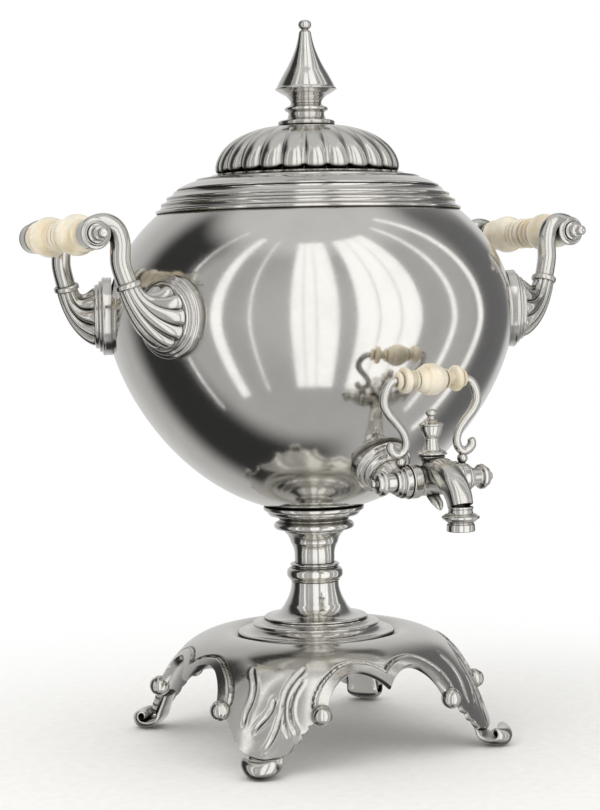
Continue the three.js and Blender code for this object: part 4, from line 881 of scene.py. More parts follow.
class TEA_URN_OT_lid(bpy.types.Operator):
    """Lid's skirt with its flange, and the gadrooned dome"""

    bl_idname = "tea_urn.lid"
    bl_label = "Lid"

    def execute(self, context):
        floor = top_of("rim_collar") + GAP
        flange = BOWL_MOUTH - BEZEL_PLAY - BEZEL_WALL - FLANGE_PLAY
        inside = [*SKIRT_INSIDE, (flange - FLANGE_WALL, 1.4), (flange - FLANGE_WALL, -FLANGE_DEPTH),
                  (flange, -FLANGE_DEPTH), (flange, 0)]
        profile = np.vstack([softened(lifted(moulding(*SKIRT), floor)), lifted(np.array(inside), floor)])
        skirt = revolved(profile, sides=224, closed=True)
        add_piece("lid_skirt_spun", skirt, PLATE, ["lid_skirt", "lid_flange"], "lid")
        add_piece("lid_dome_gadrooned", gadrooned_dome(context.scene.tea_urn), CAST, ["lid_dome"], "lid",
                  RELIEF_CREASE, SLOTS[PLATE])
        return {"FINISHED"}


# Turned pieces of the finial: profile of (radius, height over the piece's floor, bulge) from below.
FINIAL = {
    "finial_foot": ((16.4, 0), (16.8, 1.2, 0.5), (16.6, 2.6, 0.4), (15.2, 3.2), (11.2, 4.6, -0.35),
                    (10.6, 7.4, -0.1), (11.2, 8.2), (12.0, 8.6), (12.2, 10.8, 0.8), (11.0, 11.3),
                    (9.2, 13.0, -0.2)),
    "finial_cone": ((9.0, 0), (10.2, 2.4, -0.15), (14.0, 5.4, -0.15), (18.2, 8.0), (18.4, 8.5), (17.4, 9.4),
                    (11.6, 20.0, 0.03), (5.6, 33.0, -0.05), (3.6, 42.0, -0.04)),
    "finial_ball": ((3.2, 0), (2.4, 0.6, 0.5), (2.0, 1.3, -0.3), (0.3, 6.65, 1.0)),
}


class TEA_URN_OT_finial(bpy.types.Operator):
    """Turned finial: its foot on the dome, the pointed cone and the small ball"""

    bl_idname = "tea_urn.finial"
    bl_label = "Finial"

    def execute(self, context):
        for node, moves in FINIAL.items():
            profile = capped(softened(lifted(moulding(*moves), floor_of(node)), *FINIAL_SOFT))
            add_piece(f"{node}_turned", revolved(profile, sides=112), PLATE, [node], "lid")
        return {"FINISHED"}


# Arm's rose on the bowl: radius, distance from its seat, bulge.
ROSE = ((23.0, -3.0), (23.0, 1.2), (22.6, 2.6, 0.6), (21.2, 3.0), (20.9, 3.4), (20.2, 4.6, 0.7),
        (19.2, 4.8), (18.9, 5.2), (18.6, 7.0, 0.25))
# Arm's ring, from the scroll's centre: inboard, outwards along the grip, and down.
RING_INBOARD = 19.0
RING_SPREAD = 1.6
RING_DROP = 29.0
# Tube above the ring: shares of the scroll's radius outboard of its centre and above it.
HOOK = ((-1.8, -1.9), (-1.8, -0.5), (-1.5, 0.35), (-0.95, 0.72), (-0.25, 0.72), (0.35, 0.42), (0.5, -0.1),
        (0.2, -0.45))
# Radius along the tube, and relief of the reeds along the trumpet: share of the length, millimetres.
TUBE_RADIUS = ((0, 5.6), (0.45, 5.6), (0.62, 4.9), (0.9, 3.9), (1, 3.0))
REED_RELIEF = ((0, 0.5), (0.3, 0.9), (0.65, 1.5), (0.9, 1.9), (1, 1.9))
# Radius of the trumpet at the ring and at the rose, how far its edge draws in between reeds, and the rows of
# points along it and the columns across each reed.
TRUMPET_NECK = 6.2
TRUMPET_FLARE = 17.6
TRUMPET_SCALLOP = 1.7
TRUMPET_ROWS = 90
REED_COLUMNS = 18
# Handles of the trumpet's curve: their length at the ring and how much less it is on the inner side, then
# their length at the rose, how much less it is at the top, and how far they lean inwards.
RING_HANDLE = (13.5, 4.5)
ROSE_HANDLE = (8, 2, 4)
# Share of the trumpet's length where the reeds' round tips begin, and the share that they take up.
TIP_START, TIP_LENGTH = 0.86, 0.14


def rose_place():
    """Centre of the rose's seat in the quadrant of positive X and Y, and the way it faces."""
    out = np.array([math.cos(ROSE_AZIMUTH), math.sin(ROSE_AZIMUTH), 0])
    return out * BOWL_RADIUS + np.array([0, 0, EQUATOR + ROSE_LIFT]), out


def trumpet(reeds, ring_centre, direction):
    """Reeded trumpet between the arm's ring and the rose. The point at an angle and a share t is on the cubic
    curve from the ring's circle to the rose's circle whose handles run down from the ring and out from the
    rose. Reeds |cos(n a / 2)|^0.7 raise it across that curve, and end in round tips on the rose's face."""
    seat, out = rose_place()
    level = np.array([-out[1], out[0], 0])
    across = unit(level - direction * (level @ direction))
    inward = np.cross(across, direction)
    inward = inward * -np.sign(inward @ out)
    angle = round_angles(reeds * REED_COLUMNS)
    cos, sin = np.cos(angle)[:, None], np.sin(angle)[:, None]
    lobe = np.abs(np.cos(reeds * angle / 2)) ** 0.7
    share = np.linspace(0, 1, TRUMPET_ROWS)
    share = share + 0.12 * np.sin(np.pi * share)
    share = share / share.max()
    t = share[:, None, None]
    ring_way = cos * across + sin * inward
    rose_way = cos * level + sin * np.array([0, 0, 1.0])
    start = ring_centre + TRUMPET_NECK * ring_way
    flare = TRUMPET_FLARE - TRUMPET_SCALLOP * (1 - lobe[:, None])
    end = seat + out * (ROSE_HEIGHT + GAP) + flare * rose_way
    one = start - direction * (RING_HANDLE[0] - RING_HANDLE[1] * sin)
    two = end + out * (ROSE_HANDLE[0] - ROSE_HANDLE[1] * sin) - ROSE_HANDLE[2] * rose_way
    line = cubic(t, start, one, two, end)
    tip = np.sqrt(1 - np.clip((share - TIP_START) / TIP_LENGTH, 0, 1) ** 2)
    relief = table(share, REED_RELIEF) * np.maximum(tip, 0.25)
    points = line + unit(ring_way * (1 - t) + rose_way * t) * (relief[:, None] * (lobe - 0.7))[..., None]
    caps = [np.repeat(row.mean(axis=0)[None], len(angle), 0)[None] for row in (points[0], points[-1])]
    return skin(np.concatenate([caps[0], points, caps[1]]))


# Collar round an arm's ring, from below: radius, height, bulge.
COLLAR = ((5, -1.7), (6.4, -1.7), (7.4, 0, 0.5), (6.4, 1.7, 0.5), (5, 1.7))


def arm_surface(reeds):
    """Arm: the reeded trumpet, the ring, a plain tube that rises and hooks over the grip's end, and the
    turned boss that it ends in."""
    centre = np.array([SCROLL_REACH, SCROLL_SPAN, EQUATOR + SCROLL_RISE])
    ring_centre = centre + np.array([-RING_INBOARD, RING_SPREAD, -RING_DROP])
    hook = [centre + np.array([x, 0, z]) * SCROLL_RADIUS for x, z in HOOK]
    path = smooth_curve(np.vstack([ring_centre, hook]), 150)
    direction = unit(path[1] - path[0])
    radius = table(np.linspace(0, 1, len(path)), TUBE_RADIUS)
    tube = carried(path, (0, 1, 0), radius, radius, 48)
    band = turned(COLLAR, 64, SMALL_SOFT, ring_centre, direction)
    half = SCROLL_WIDTH / 2
    boss = (
        (7.2, -half), (8.6, -half + 1.2, 0.4), (8.6, half - 2.6), (8.2, half - 1.2, 0.5), (7.0, half - 0.9),
        (6.6, half - 0.4), (5.9, half, 0.6), (4.6, half - 0.2),
    )
    hub = turned(boss, 72, SMALL_SOFT, centre, (0, 1, 0))
    return joined(trumpet(reeds, ring_centre, direction), tube, band, hub)


# Button at a grip's end: radius, distance from the arm, bulge.
BUTTON = ((5.2, 0), (5.2, 0.9, 0.7), (4.2, 1.3), (4.0, 1.7), (4.3, 3.6, 0.25), (3.6, 5.4, 0.35),
          (2.5, 6.2, -0.1), (2.1, 6.9, -0.3), (0.3, 10.5, 0.9))


class TEA_URN_OT_handles(bpy.types.Operator):
    """Roses on the bowl, reeded arms and the buttons at the grips' ends"""

    bl_idname = "tea_urn.handles"
    bl_label = "Handles"

    def execute(self, context):
        rose = turned(ROSE, 112, PLAIN_SOFT, *rose_place())
        arm = arm_surface(context.scene.tea_urn.reeds)
        tip = (SCROLL_REACH, SCROLL_SPAN + SCROLL_WIDTH / 2 + GAP, EQUATOR + SCROLL_RISE)
        button = turned(BUTTON, 56, FINE_SOFT, tip, (0, 1, 0))
        for sign_x, side in SIDES:
            for sign_y, end in ENDS:
                where = f"{side}_{end}"
                add_piece(f"rose_{where}", signed(rose, sign_x, sign_y), PLATE, [f"handle_rose_{where}"])
                add_piece(f"arm_{where}", signed(arm, sign_x, sign_y), CAST, [f"handle_arm_{where}"],
                          crease=RELIEF_CREASE)
                add_piece(f"button_{where}", signed(button, sign_x, sign_y), PLATE, [f"grip_button_{where}"])
        return {"FINISHED"}


# Half of a side grip from its middle outwards, and half of the bail's grip: radius, distance, bulge.
GRIP_HALF = ((9.2, 0), (9.2, 1.2), (8.4, 2.0, 0.6), (7.5, 2.6, -0.3), (7.5, 3.6), (8.8, 4.2),
             (8.8, 6.2, 0.7), (7.5, 6.8), (7.3, 8.0), (8.5, 8.6), (8.5, 10.4, 0.7), (7.3, 11.0),
             (7.2, 12.0), (8.5, 12.8), (8.8, 28.8, 0.37), (7.0, 30.2, -0.3), (6.8, 31.6), (8.2, 33.4, -0.3),
             (9.0, 33.8), (9.0, 36.4, 0.5), (8.2, 37.0), (6.7, 39.2, -0.3))
BAIL_GRIP_HALF = ((8.7, 0), (8.3, 3.4, 0.1), (7.2, 4.0), (7.4, 4.6), (5.0, 8.4, 0.16), (4.2, 8.8),
                  (5.2, 9.2), (5.2, 10.0, 0.7), (3.7, 10.4), (3.2, 12.2, -0.2), (3.8, 13.8, -0.2),
                  (6.7, 14.4), (6.7, 17.6, 0.3), (4.0, 18.2), (3.5, 18.6), (4.4, 19.0), (4.0, 21.4, 0.6))


def turned_both_ways(half):
    """Full profile from half of it, mirrored at the middle."""
    outward = moulding(*half)
    return np.vstack([outward[::-1] * np.array([1, -1]), outward[1:]])


class TEA_URN_OT_grips(bpy.types.Operator):
    """Turned ivory grips between the arms"""

    bl_idname = "tea_urn.grips"
    bl_label = "Grips"

    def execute(self, context):
        shape = revolved(capped(softened(turned_both_ways(GRIP_HALF), *GRIP_SOFT)), sides=96)
        for sign, side in SIDES:
            grip = placed(shape, (sign * SCROLL_REACH, 0, EQUATOR + SCROLL_RISE), (0, 1, 0))
            add_piece(f"grip_{side}_turned", grip, IVORY, [f"grip_{side}"])
        return {"FINISHED"}


# Turned pieces of the tap, as (radius, distance, bulge): its rose outwards from the bowl, the barrel along
# its axis from the middle, the nozzle upwards from its mouth, and the ornament from below.
TAP_ROSE = ((16.8, -12.0), (16.8, 0.6), (16.4, 2.2, 0.7), (15.4, 2.6), (14.6, 3.4, 0.3), (13.4, 3.6),
            (13.0, 4.2), (12.4, 5.6, 0.7), (11.2, 6.0), (10.3, 8.4, -0.3))
BARREL_SIDE = ((9.2, -15.7), (9.3, -14.9, 0.5), (9.3, -10.2), (8.9, -9.6), (8.3, -8.9, -0.4), (8.3, 8.9),
              (8.9, 9.6, -0.4), (9.3, 10.2), (9.3, 14.9), (9.2, 15.7, 0.5))
NOZZLE = ((7.0, 0), (7.6, 0.8, 0.5), (7.5, 3.8), (6.9, 4.6, -0.3), (8.2, 5.6, -0.2), (9.4, 6.7),
          (9.4, 8.5, 0.9), (8.0, 9.4), (6.6, 10.2, -0.4), (6.4, 11.8), (6.8, 12.2), (6.6, 13.2, 0.4))
ORNAMENT = ((8.0, 0), (8.3, 0.9, 0.9), (7.6, 1.7), (4.9, 3.6, -0.3), (3.6, 7.4, -0.1), (3.9, 8.4),
            (3.6, 8.8), (5.2, 11.6, 0.12), (6.0, 15.4, 0.08), (6.3, 15.7), (6.4, 16.7, 0.9), (5.2, 17.2),
            (3.6, 18.6, -0.12), (2.0, 20.2, -0.25), (1.9, 20.8), (0.2, 24.4, 1.0))
# Boss under the tap's ornament: radius, height over the barrel's axis, bulge.
TAP_BOSS = ((5.2, 0), (5.2, 9.0), (5.6, 10.6, -0.2), (6.9, 11.8, -0.2), (7.2, 12.4), (6.9, 13.4, 0.6))
# Neck from the rose to the barrel: shares of the run outwards, and rise as a share of it; then its radii.
NECK_LINE = ((0.22, 0.085), (0.45, 0.08), (0.72, 0.02))
NECK_RADIUS = ((0, 9.8), (0.08, 9.6), (0.2, 7.6), (0.5, 6.7), (0.8, 7.2), (1, 8.2))
# Spout and drop leaf from the barrel's centre, forward and up; then their half widths and half depths.
SPOUT_LINE = ((2.0, 4.0), (-6.0, 5.4), (-14.5, 4.0), (-21.6, -0.4), (-26.6, -6.4),
              (-SPOUT_REACH, -SPOUT_DROP))
SPOUT_WIDE = ((0, 5.4), (0.3, 7.2), (0.65, 7.2), (1, 6.3))
SPOUT_DEEP = ((0, 6.2), (0.3, 7.6), (0.65, 6.8), (1, 6.3))
LEAF_LINE = ((2.4, -6.0), (-2.6, -10.0), (-6.0, -12.6), (-8.6, -15.8))
LEAF_WIDE = ((0, 3.6), (0.35, 4.0), (0.65, 3.6), (0.85, 2.4), (0.97, 0.9), (1, 0.2))
LEAF_FLATNESS = 0.62
NOZZLE_BORE = ((3.7, 13.2), (3.7, 1.0), (4.4, 0.0))


def tap_seat():
    """Where the tap's rose meets the bowl, and the way it faces."""
    out = np.array([0, -math.cos(TAP_TILT), -math.sin(TAP_TILT)])
    height = EQUATOR - TAP_ROSE_DROP
    low = bowl_profile()[:BOWL_ROWS]
    return np.array([0, -np.interp(height, low[:, 1], low[:, 0]), height]), out


def swept(line, wide, deep, sides, power=2.0):
    """A section carried along a curve in the tap's middle plane, with half widths and half depths from tables
    over the curve's length."""
    share = np.linspace(0, 1, len(line))
    return carried(line, (1, 0, 0), table(share, wide), table(share, deep), sides, power)


class TEA_URN_OT_tap(bpy.types.Operator):
    """Rose on the bowl, cast body with its barrel, neck, spout and drop leaf, the nozzle and the ornament"""

    bl_idname = "tea_urn.tap"
    bl_label = "Tap"

    def execute(self, context):
        seat, out = tap_seat()
        rose = turned(TAP_ROSE, 96, PLAIN_SOFT, seat + out * TAP_ROSE_LIFT, out)
        add_piece("tap_rose_turned", rose, PLATE, ["tap_rose"])
        face = seat + out * (TAP_ROSE_LIFT + TAP_ROSE_HEIGHT - 1)
        run = BARREL[1] - face[1]
        neck_line = [face, *[face + (0, y * run, z * run) for y, z in NECK_LINE], BARREL]
        neck = swept(smooth_curve(neck_line, 60), NECK_RADIUS, NECK_RADIUS, 56)
        barrel = turned(BARREL_SIDE, 80, PLAIN_SOFT, BARREL, (1, 0, 0))
        spout_line = smooth_curve([BARREL + (0, y, z) for y, z in SPOUT_LINE], 90)
        spout = swept(spout_line, SPOUT_WIDE, SPOUT_DEEP, 64, power=2.7)
        top = turned(TAP_BOSS, 64, SMALL_SOFT, BARREL, (0, 0, 1))
        leaf_line = smooth_curve([BARREL + (0, y, z) for y, z in LEAF_LINE], 40)
        leaf_deep = [(share, wide * LEAF_FLATNESS) for share, wide in LEAF_WIDE]
        leaf = swept(leaf_line, LEAF_WIDE, leaf_deep, 32, power=1.6)
        body = joined(neck, barrel, spout, top, leaf)
        add_piece("tap_body_cast", body, CAST, ["tap_body"], crease=CAST_CREASE)
        profile = np.vstack([softened(moulding(*NOZZLE), *NOZZLE_SOFT), NOZZLE_BORE])
        end = (BARREL[0], BARREL[1] - SPOUT_REACH, floor_of("tap_nozzle"))
        nozzle = placed(revolved(profile, sides=80, closed=True), end, (0, 0, 1))
        add_piece("nozzle_turned", nozzle, PLATE, ["tap_nozzle"])
        ornament = turned(ORNAMENT, 72, TAP_SOFT, (*BARREL[:2], floor_of("tap_finial")), (0, 0, 1))
        add_piece("tap_ornament", ornament, PLATE, ["tap_finial"])
        return {"FINISHED"}


# Collar and knob of the tap's key outwards along its axis: radius, distance from the inner face, bulge.
KEY_COLLAR = ((8.4, 0), (8.8, 0.7, 0.5), (8.8, 3.4), (8.4, 4.0, 0.4), (7.6, 4.4), (7.4, 4.8),
              (7.5, 6.2, 0.6), (6.6, 6.7), (6.4, 7.2), (6.3, 8.0))
KEY_KNOB = ((5.0, 0), (4.9, 5.2), (5.2, 5.6), (6.5, 6.0), (6.8, 6.8, 0.4), (6.6, 8.4, 0.3), (5.6, 9.0),
            (5.5, 9.6), (4.6, 11.0, 0.35), (2.6, 11.4), (1.9, 11.7), (2.2, 12.1), (0.3, 13.6, 0.9))
# Bail's wire on one side: shares of its half span and of its height over the barrel.
BAIL_LINE = ((0.75, 1), (0.86, 0.975), (0.97, 0.89), (1, 0.78), (0.91, 0.68), (0.75, 0.585), (0.605, 0.485),
             (0.55, 0.385), (0.59, 0.31), (0.7, 0.27), (0.82, 0.29), (0.885, 0.345), (0.85, 0.4))
# The wire's radius along it: share of its length, millimetres.
BAIL_RADIUS = ((0, 2.4), (0.1, 2.6), (0.3, 2.6), (0.55, 2.3), (0.8, 2.4), (0.93, 2.5), (0.985, 2.1),
               (1, 0.4))
COLLAR_DEPTH = 8
# Ball that the wire stands on, and its peg: distance along the key's axis, height over it, radius.
BAIL_BALL = (19.5, 10.8, 2.9)
BAIL_PEG = (20.2, 13.4, 1.5)
PEG_HALF = 2.6


def bail_wire():
    """Bail's wire: a tapered round section carried along a lyre curve, with the ball that stands on the
    collar."""
    points = [BARREL + (x * BAIL_SPAN, 0, z * BAIL_HEIGHT) for x, z in BAIL_LINE]
    path = smooth_curve(points, 150)
    radius = table(np.linspace(0, 1, 150), BAIL_RADIUS)
    wire = carried(path, (0, 1, 0), radius, radius, 32)
    latitude = np.linspace(-np.pi / 2, np.pi / 2, 25)
    along, height, size = BAIL_BALL
    ball = revolved(size * np.stack([np.cos(latitude), np.sin(latitude)], axis=1), 36)
    seat = placed(ball, BARREL + (along, 0, height), (0, 0, 1))
    along, height, size = BAIL_PEG
    peg = revolved(capped(moulding((size, -PEG_HALF), (size, PEG_HALF))), 24)
    return joined(wire, seat, placed(peg, BARREL + (along, 0, height), (0, 0, 1)))


class TEA_URN_OT_tap_key(bpy.types.Operator):
    """What turns with the plug: collars, knobs, the bail's two wires and its turned grip"""

    bl_idname = "tea_urn.tap_key"
    bl_label = "Tap key"

    def execute(self, context):
        collar = turned(KEY_COLLAR, 72, TAP_SOFT, BARREL + (BARREL_HALF + GAP, 0, 0), (1, 0, 0))
        knob_face = BARREL + (BARREL_HALF + COLLAR_DEPTH + 2 * GAP, 0, 0)
        knob = turned(KEY_KNOB, 64, FINE_SOFT, knob_face, (1, 0, 0))
        wire = bail_wire()
        for sign, side in SIDES:
            add_piece(f"collar_{side}", signed(collar, sign), PLATE, [f"key_collar_{side}"], "tap_key")
            add_piece(f"knob_{side}", signed(knob, sign), PLATE, [f"key_knob_{side}"], "tap_key")
            add_piece(f"bail_{side}", signed(wire, sign), CAST, [f"bail_arm_{side}"], "tap_key")
        profile = capped(softened(turned_both_ways(BAIL_GRIP_HALF), *FINE_SOFT))
        grip = placed(revolved(profile, sides=80), BARREL + (0, 0, BAIL_HEIGHT), (1, 0, 0))
        add_piece("bail_grip_turned", grip, IVORY, ["bail_grip"], "tap_key")
        return {"FINISHED"}


# Finishes of the CAD nodes that keep their shapes.
KEPT_NODES = {
    "brass_turned": ("tie_rod", "base_washer", "base_nut", "bowl_boss", "heater_well", "heater_cap",
                     "finial_stud", "finial_washer", "finial_nut", "handle_nut_left_front",
                     "handle_nut_left_back", "handle_nut_right_front", "handle_nut_right_back",
                     "grip_rod_left", "grip_rod_right", "tap_locknut", "key_plug"),
    "iron_cast": ("heater_iron",),
    "leather_waxed": ("tap_gasket",),
}


class TEA_URN_OT_fittings(bpy.types.Operator):
    """Finishes of the inner fittings, which keep their CAD shapes"""

    bl_idname = "tea_urn.fittings"
    bl_label = "Fittings"

    def execute(self, context):
        for name, nodes in KEPT_NODES.items():
            material = finish(name)
            for node in nodes:
                mesh = NODES[node].data
                mesh.materials.clear()
                mesh.materials.append(material)
        return {"FINISHED"}


# Stage

# The photograph's view: azimuth, distance, height, pitch, and the turn and roll that frame the urn.
VIEW_AZIMUTH = math.radians(-28)
VIEW_DISTANCE = 1.2
VIEW_HEIGHT = 0.273
VIEW_PITCH = math.radians(-3.43)
VIEW_TURN = math.radians(0.34)
VIEW_ROLL = math.radians(1.1)
VIEW_FOCAL = 88.9
FRAME_SENSOR = 36.0
# Radii between which the floor fades to white for the camera, and half its width, in metres.
FADE_START = 0.14
FADE_END = 0.5
FLOOR_REACH = 6.0
UP = np.array([0, 0, 1.0])
# Lamps: bearing to the left of the view and elevation in degrees, distance from the point that they face and
# size in metres, and share of the key lamp's power.
LAMP_TARGET = np.array([0, AXIS_Y * MM, 0.2])
LAMPS = (("key_lamp", 40, 42, 2.2, 1.4, 1.0), ("fill_lamp", -55, 35, 2.4, 1.6, 0.45))


def bearings(bearing):
    """The level way out from the urn at a bearing to the left of the photograph's view, and the level way to
    the right of it."""
    angle = VIEW_AZIMUTH - bearing
    return np.array([math.sin(angle), -math.cos(angle), 0]), np.array([math.cos(angle), math.sin(angle), 0])


def aimed(thing, right, up, back, place):
    """Puts a camera or a lamp at a place by its three axes."""
    bpy.context.scene.collection.objects.link(thing)
    columns = np.stack([right, up, back, place], axis=1)
    thing.matrix_world = Matrix([*columns.tolist(), [0, 0, 0, 1]])


def card(name, corners, material, glossy_only=True):
    """Flat panel of the studio. A card for reflections only isn't seen by the camera and casts no shadow."""
    mesh = bpy.data.meshes.new(name)
    mesh.from_pydata([tuple(corner) for corner in corners], [], [tuple(range(len(corners)))])
    mesh.materials.append(material)
    panel = bpy.data.objects.new(name, mesh)
    bpy.context.scene.collection.objects.link(panel)
    if glossy_only:
        panel.visible_camera = False
        panel.visible_diffuse = False
        panel.visible_shadow = False
        panel.visible_transmission = False
    return panel


def upright_card(name, bearing, distance, width, low, high, material):
    """Reflection card that stands upright and faces the urn, at a bearing to the left of the camera's."""
    out, right = bearings(bearing)
    middle = out * distance + np.array([0, AXIS_Y * MM, 0])
    corners = [middle + right * width / 2 * side + UP * z
               for side, z in ((-1, low), (1, low), (1, high), (-1, high))]
    return card(name, corners, material)


def emission_material(name, strength):
    """Window pane. Metal shows it as an even white highlight."""
    material, tree = new_material(name)
    shader = add_node(tree, "Emission", Color=(*WHITE, 1), Strength=strength)
    add_node(tree, "OutputMaterial", Surface=(shader, "Emission"))
    return material


def paper_material(name, pale, shade):
    """Matt paper sweep under the urn. The eye gets a faint mottling, and the paper fades to white away from
    it."""
    material, tree = new_material(name)
    place = (add_node(tree, "TexCoord"), "Object")
    fibre = add_node(tree, "TexNoise", Vector=place, Scale=per_metre(6), Detail=6.0)
    colour = add_node(
        tree, "ValToRGB", {"stops": ((0.35, to_linear(shade)), (0.65, to_linear(pale)))}, Fac=(fibre, "Fac")
    )
    bump = add_node(tree, "Bump", Strength=0.05, Distance=0.2 * MM, Height=(fibre, "Fac"))
    shader = add_node(
        tree, "BsdfPrincipled", Base_Color=(colour, "Color"), Roughness=0.85, Normal=(bump, "Normal")
    )
    path = add_node(tree, "LightPath")
    away = add_node(tree, "VectorMath", {"operation": "LENGTH"}, input_0=place)
    far = add_node(
        tree, "MapRange", {"interpolation_type": "SMOOTHSTEP"}, Value=(away, "Value"),
        From_Min=FADE_START, From_Max=FADE_END,
    )
    white = add_node(tree, "Emission", Color=(*WHITE, 1), Strength=1.0)
    share = add_node(
        tree, "Math", {"operation": "MULTIPLY"}, input_0=(far, "Result"), input_1=(path, "Is Camera Ray")
    )
    mixed = add_node(
        tree, "MixShader", input_0=(share, "Value"), input_1=(shader, "BSDF"), input_2=(white, "Emission")
    )
    add_node(tree, "OutputMaterial", Surface=(mixed, "Shader"))
    return material


def build_camera():
    """Camera at the photograph's angle."""
    data = bpy.data.cameras.new("view")
    data.sensor_width = FRAME_SENSOR
    data.lens = VIEW_FOCAL
    camera = bpy.data.objects.new("view", data)
    place = bearings(0)[0] * VIEW_DISTANCE + np.array([0, AXIS_Y * MM, VIEW_HEIGHT])
    out, right = bearings(-VIEW_TURN)
    ahead = UP * math.sin(VIEW_PITCH) - out * math.cos(VIEW_PITCH)
    up = np.cross(right, ahead)
    cos, sin = math.cos(VIEW_ROLL), math.sin(VIEW_ROLL)
    aimed(camera, right * cos - up * sin, up * cos + right * sin, -ahead, place)
    bpy.context.scene.camera = camera


def add_lamp(name, bearing, elevation, distance, size, watts):
    """Soft square lamp that faces the urn's middle; metal doesn't mirror it, because the cards stand for
    it."""
    data = bpy.data.lights.new(name, "AREA")
    data.size = size
    data.energy = watts
    lamp = bpy.data.objects.new(name, data)
    out, right = bearings(bearing)
    back = out * math.cos(elevation) + UP * math.sin(elevation)
    aimed(lamp, right, np.cross(back, right), back, LAMP_TARGET + back * distance)
    lamp.visible_glossy = False


def facing(tree, place, way, *stops):
    """Grey from a ramp over how nearly a direction points one way: 0 is straight away from it, 1 towards
    it."""
    way = unit(way)
    dot = add_node(tree, "VectorMath", {"operation": "DOT_PRODUCT"}, input_0=place, input_1=way.tolist())
    share = add_node(tree, "MapRange", Value=(dot, "Value"), From_Min=-1.0)
    node = add_node(tree, "ValToRGB", {"stops": stops}, Fac=(share, "Result"))
    node.color_ramp.interpolation = "EASE"
    return node, "Color"


# Room that metal mirrors, by how nearly a direction points at the viewer: its greys, and the rings that the
# dark doorway and the dimmer wall take up, each on its own side.
ROOM_GREYS = ((0.0, "#DCDCDC"), (0.2, "#C2C2C2"), (0.55, "#BEBEBE"), (0.8, "#B8B8B8"), (0.97, "#C6C6C6"))
DOORWAY_RING = ((0.18, BLACK), (0.34, WHITE), (0.52, WHITE), (0.65, BLACK))
DOORWAY_SIDE = ((0.46, BLACK), (0.66, WHITE))
WALL_RING = ((0.03, BLACK), (0.1, WHITE), (0.26, WHITE), (0.42, BLACK))
WALL_SIDE = ((0.6, BLACK), (0.8, WHITE))


def build_world():
    """White for the camera and for diffuse light. For metal: a room that is bright behind the viewer and
    overhead, with a dark doorway as a crescent on the left and a dimmer wall on the right."""
    world = bpy.data.worlds.new("studio")
    bpy.context.scene.world = world
    world.use_nodes = True
    tree = world.node_tree
    tree.nodes.clear()
    path = add_node(tree, "LightPath")
    place = (add_node(tree, "TexCoord"), "Generated")
    ahead, right = bearings(0)
    shown = facing(tree, place, ahead, *((share, to_linear(grey)) for share, grey in ROOM_GREYS))
    covers = []
    for ring_stops, side, side_stops, strength, grey in (
        (DOORWAY_RING, UP * -0.3 - right, DOORWAY_SIDE, 0.94, "#121214"),
        (WALL_RING, UP * 0.1 + right, WALL_SIDE, 0.8, "#4A4A4E"),
    ):
        both = add_node(
            tree, "Math", {"operation": "MULTIPLY"}, input_0=facing(tree, place, ahead, *ring_stops),
            input_1=facing(tree, place, side, *side_stops),
        )
        share = add_node(tree, "Math", {"operation": "MULTIPLY"}, input_0=(both, "Value"), input_1=strength)
        covers.append(((share, "Value"), grey))
    covers.append((facing(tree, place, UP, (0.88, BLACK), (0.97, WHITE)), "#DADADA"))
    for share, grey in covers:
        mixed = add_node(
            tree, "Mix", {"data_type": "RGBA"}, input_0=share, input_6=shown, input_7=(*to_linear(grey), 1)
        )
        shown = (mixed, 2)
    mirrored = add_node(
        tree, "Math", {"operation": "MAXIMUM"}, input_0=(path, "Is Glossy Ray"),
        input_1=(path, "Is Transmission Ray"),
    )
    lit = add_node(
        tree, "Mix", {"data_type": "RGBA"}, input_0=(mirrored, "Value"), input_6=(*to_linear("#FAFAFA"), 1),
        input_7=shown,
    )
    seen = add_node(
        tree, "Mix", {"data_type": "RGBA"}, input_0=(path, "Is Camera Ray"), input_6=(lit, 2),
        input_7=(*WHITE, 1),
    )
    background = add_node(tree, "Background", Color=(seen, 2), Strength=1.0)
    add_node(tree, "OutputWorld", Surface=(background, "Background"))


# Window strips that metal mirrors: bearing to the left of the view in degrees, and width in metres.
WINDOWS = ((76, 0.05), (51, 0.2), (32, 0.04), (7, 0.19), (0, 0.19), (-9.5, 0.34), (-31, 0.35),
           (-43.5, 0.35), (-56, 0.35), (-84, 0.11), (-106, 0.14))
# Their distance from the urn, and the heights of their feet and heads, in metres.
WINDOW_DISTANCE = 1.7
WINDOW_FOOT = -1.8
WINDOW_HEAD = 4.2


class TEA_URN_OT_stage(bpy.types.Operator):
    """Camera, world, pale floor that fades to white, soft lamps, and window strips for metal to mirror"""

    bl_idname = "tea_urn.stage"
    bl_label = "Stage"

    def execute(self, context):
        settings = context.scene.tea_urn
        build_camera()
        build_world()
        corners = [(x * FLOOR_REACH, y * FLOOR_REACH, 0) for x, y in ((-1, -1), (1, -1), (1, 1), (-1, 1))]
        floor = card("floor", corners, paper_material("paper_matt", "#F7F6F3", "#F2F1ED"), False)
        floor.visible_glossy = False
        pane = emission_material("window_pane", settings.window)
        for number, (bearing, width) in enumerate(WINDOWS):
            upright_card(f"window_{number}", math.radians(bearing), WINDOW_DISTANCE, width, WINDOW_FOOT,
                         WINDOW_HEAD, pane)
        for name, bearing, elevation, distance, size, share in LAMPS:
            add_lamp(name, math.radians(bearing), math.radians(elevation), distance, size,
                     settings.key_watts * share)
        return {"FINISHED"}


# Add-on


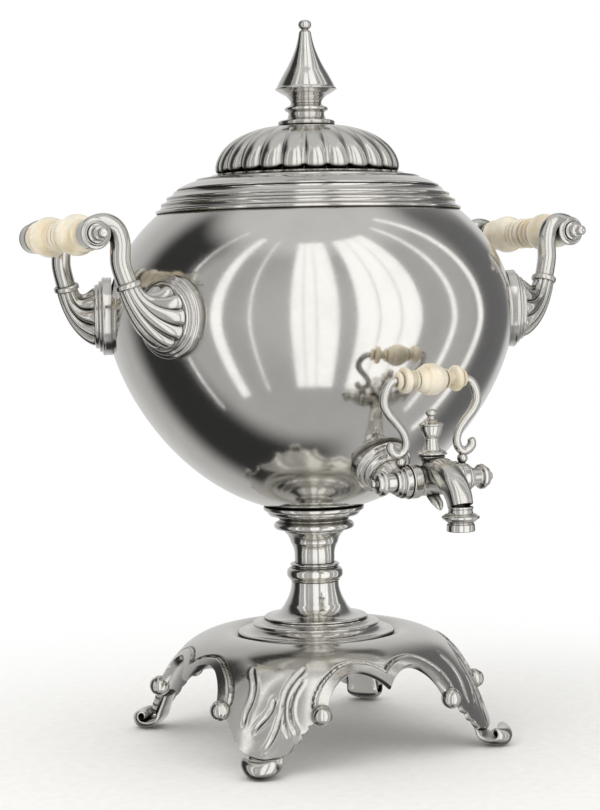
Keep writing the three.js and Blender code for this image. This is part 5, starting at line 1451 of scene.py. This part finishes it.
class TeaUrnSettings(bpy.types.PropertyGroup):
    """Sizes, finish and light that a user would change."""

    lobes: IntProperty(name="Gadroons", description="Lobes round the lid's dome", default=24, min=8, max=48)
    gadroon_relief: FloatProperty(
        name="Gadroon relief", description="Depth of the valleys between the lobes, in millimetres",
        default=4.4, min=0.5, max=6,
    )
    reeds: IntProperty(name="Reeds", description="Reeds round each handle's arm", default=10, min=6, max=16)
    band_relief: FloatProperty(
        name="Apron band", description="Height of the raised band along the aprons, in millimetres",
        default=1.1, min=0, max=3,
    )
    polish: FloatProperty(
        name="Roughness", description="Roughness of the polished plate", default=0.1, min=0.02, max=0.5,
        subtype="FACTOR",
    )
    window: FloatProperty(
        name="Window", description="Strength of the panes in reflections", default=1.35, min=0
    )
    key_watts: FloatProperty(
        name="Key lamp", description="Power of the key lamp", default=11.0, min=0, unit="POWER"
    )


# In the order in which they run.
OPERATORS = (
    TEA_URN_OT_stage, TEA_URN_OT_base, TEA_URN_OT_stem, TEA_URN_OT_bowl, TEA_URN_OT_rim, TEA_URN_OT_lid,
    TEA_URN_OT_finial, TEA_URN_OT_handles, TEA_URN_OT_grips, TEA_URN_OT_tap, TEA_URN_OT_tap_key,
    TEA_URN_OT_fittings,
)


class TEA_URN_PT_panel(bpy.types.Panel):
    """Sidebar panel with the settings and one button for each group of pieces."""

    bl_idname = "TEA_URN_PT_panel"
    bl_label = "Tea Urn"
    bl_space_type = "VIEW_3D"
    bl_region_type = "UI"
    bl_category = "Tea Urn"

    def draw(self, context):
        settings = context.scene.tea_urn
        for name in TeaUrnSettings.__annotations__:
            self.layout.prop(settings, name)
        for operator in OPERATORS:
            self.layout.operator(operator.bl_idname)


CLASSES = (TeaUrnSettings, *OPERATORS, TEA_URN_PT_panel)


def register():
    for item in CLASSES:
        bpy.utils.register_class(item)
    bpy.types.Scene.tea_urn = PointerProperty(type=TeaUrnSettings)


def unregister():
    del bpy.types.Scene.tea_urn
    for item in reversed(CLASSES):
        bpy.utils.unregister_class(item)


def main():
    """Registers the add-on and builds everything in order."""
    register()
    bpy.context.scene.view_settings.view_transform = "Standard"
    for operator in OPERATORS:
        getattr(bpy.ops.tea_urn, operator.bl_idname.split(".")[1])()


if __name__ == "__main__":
    main()
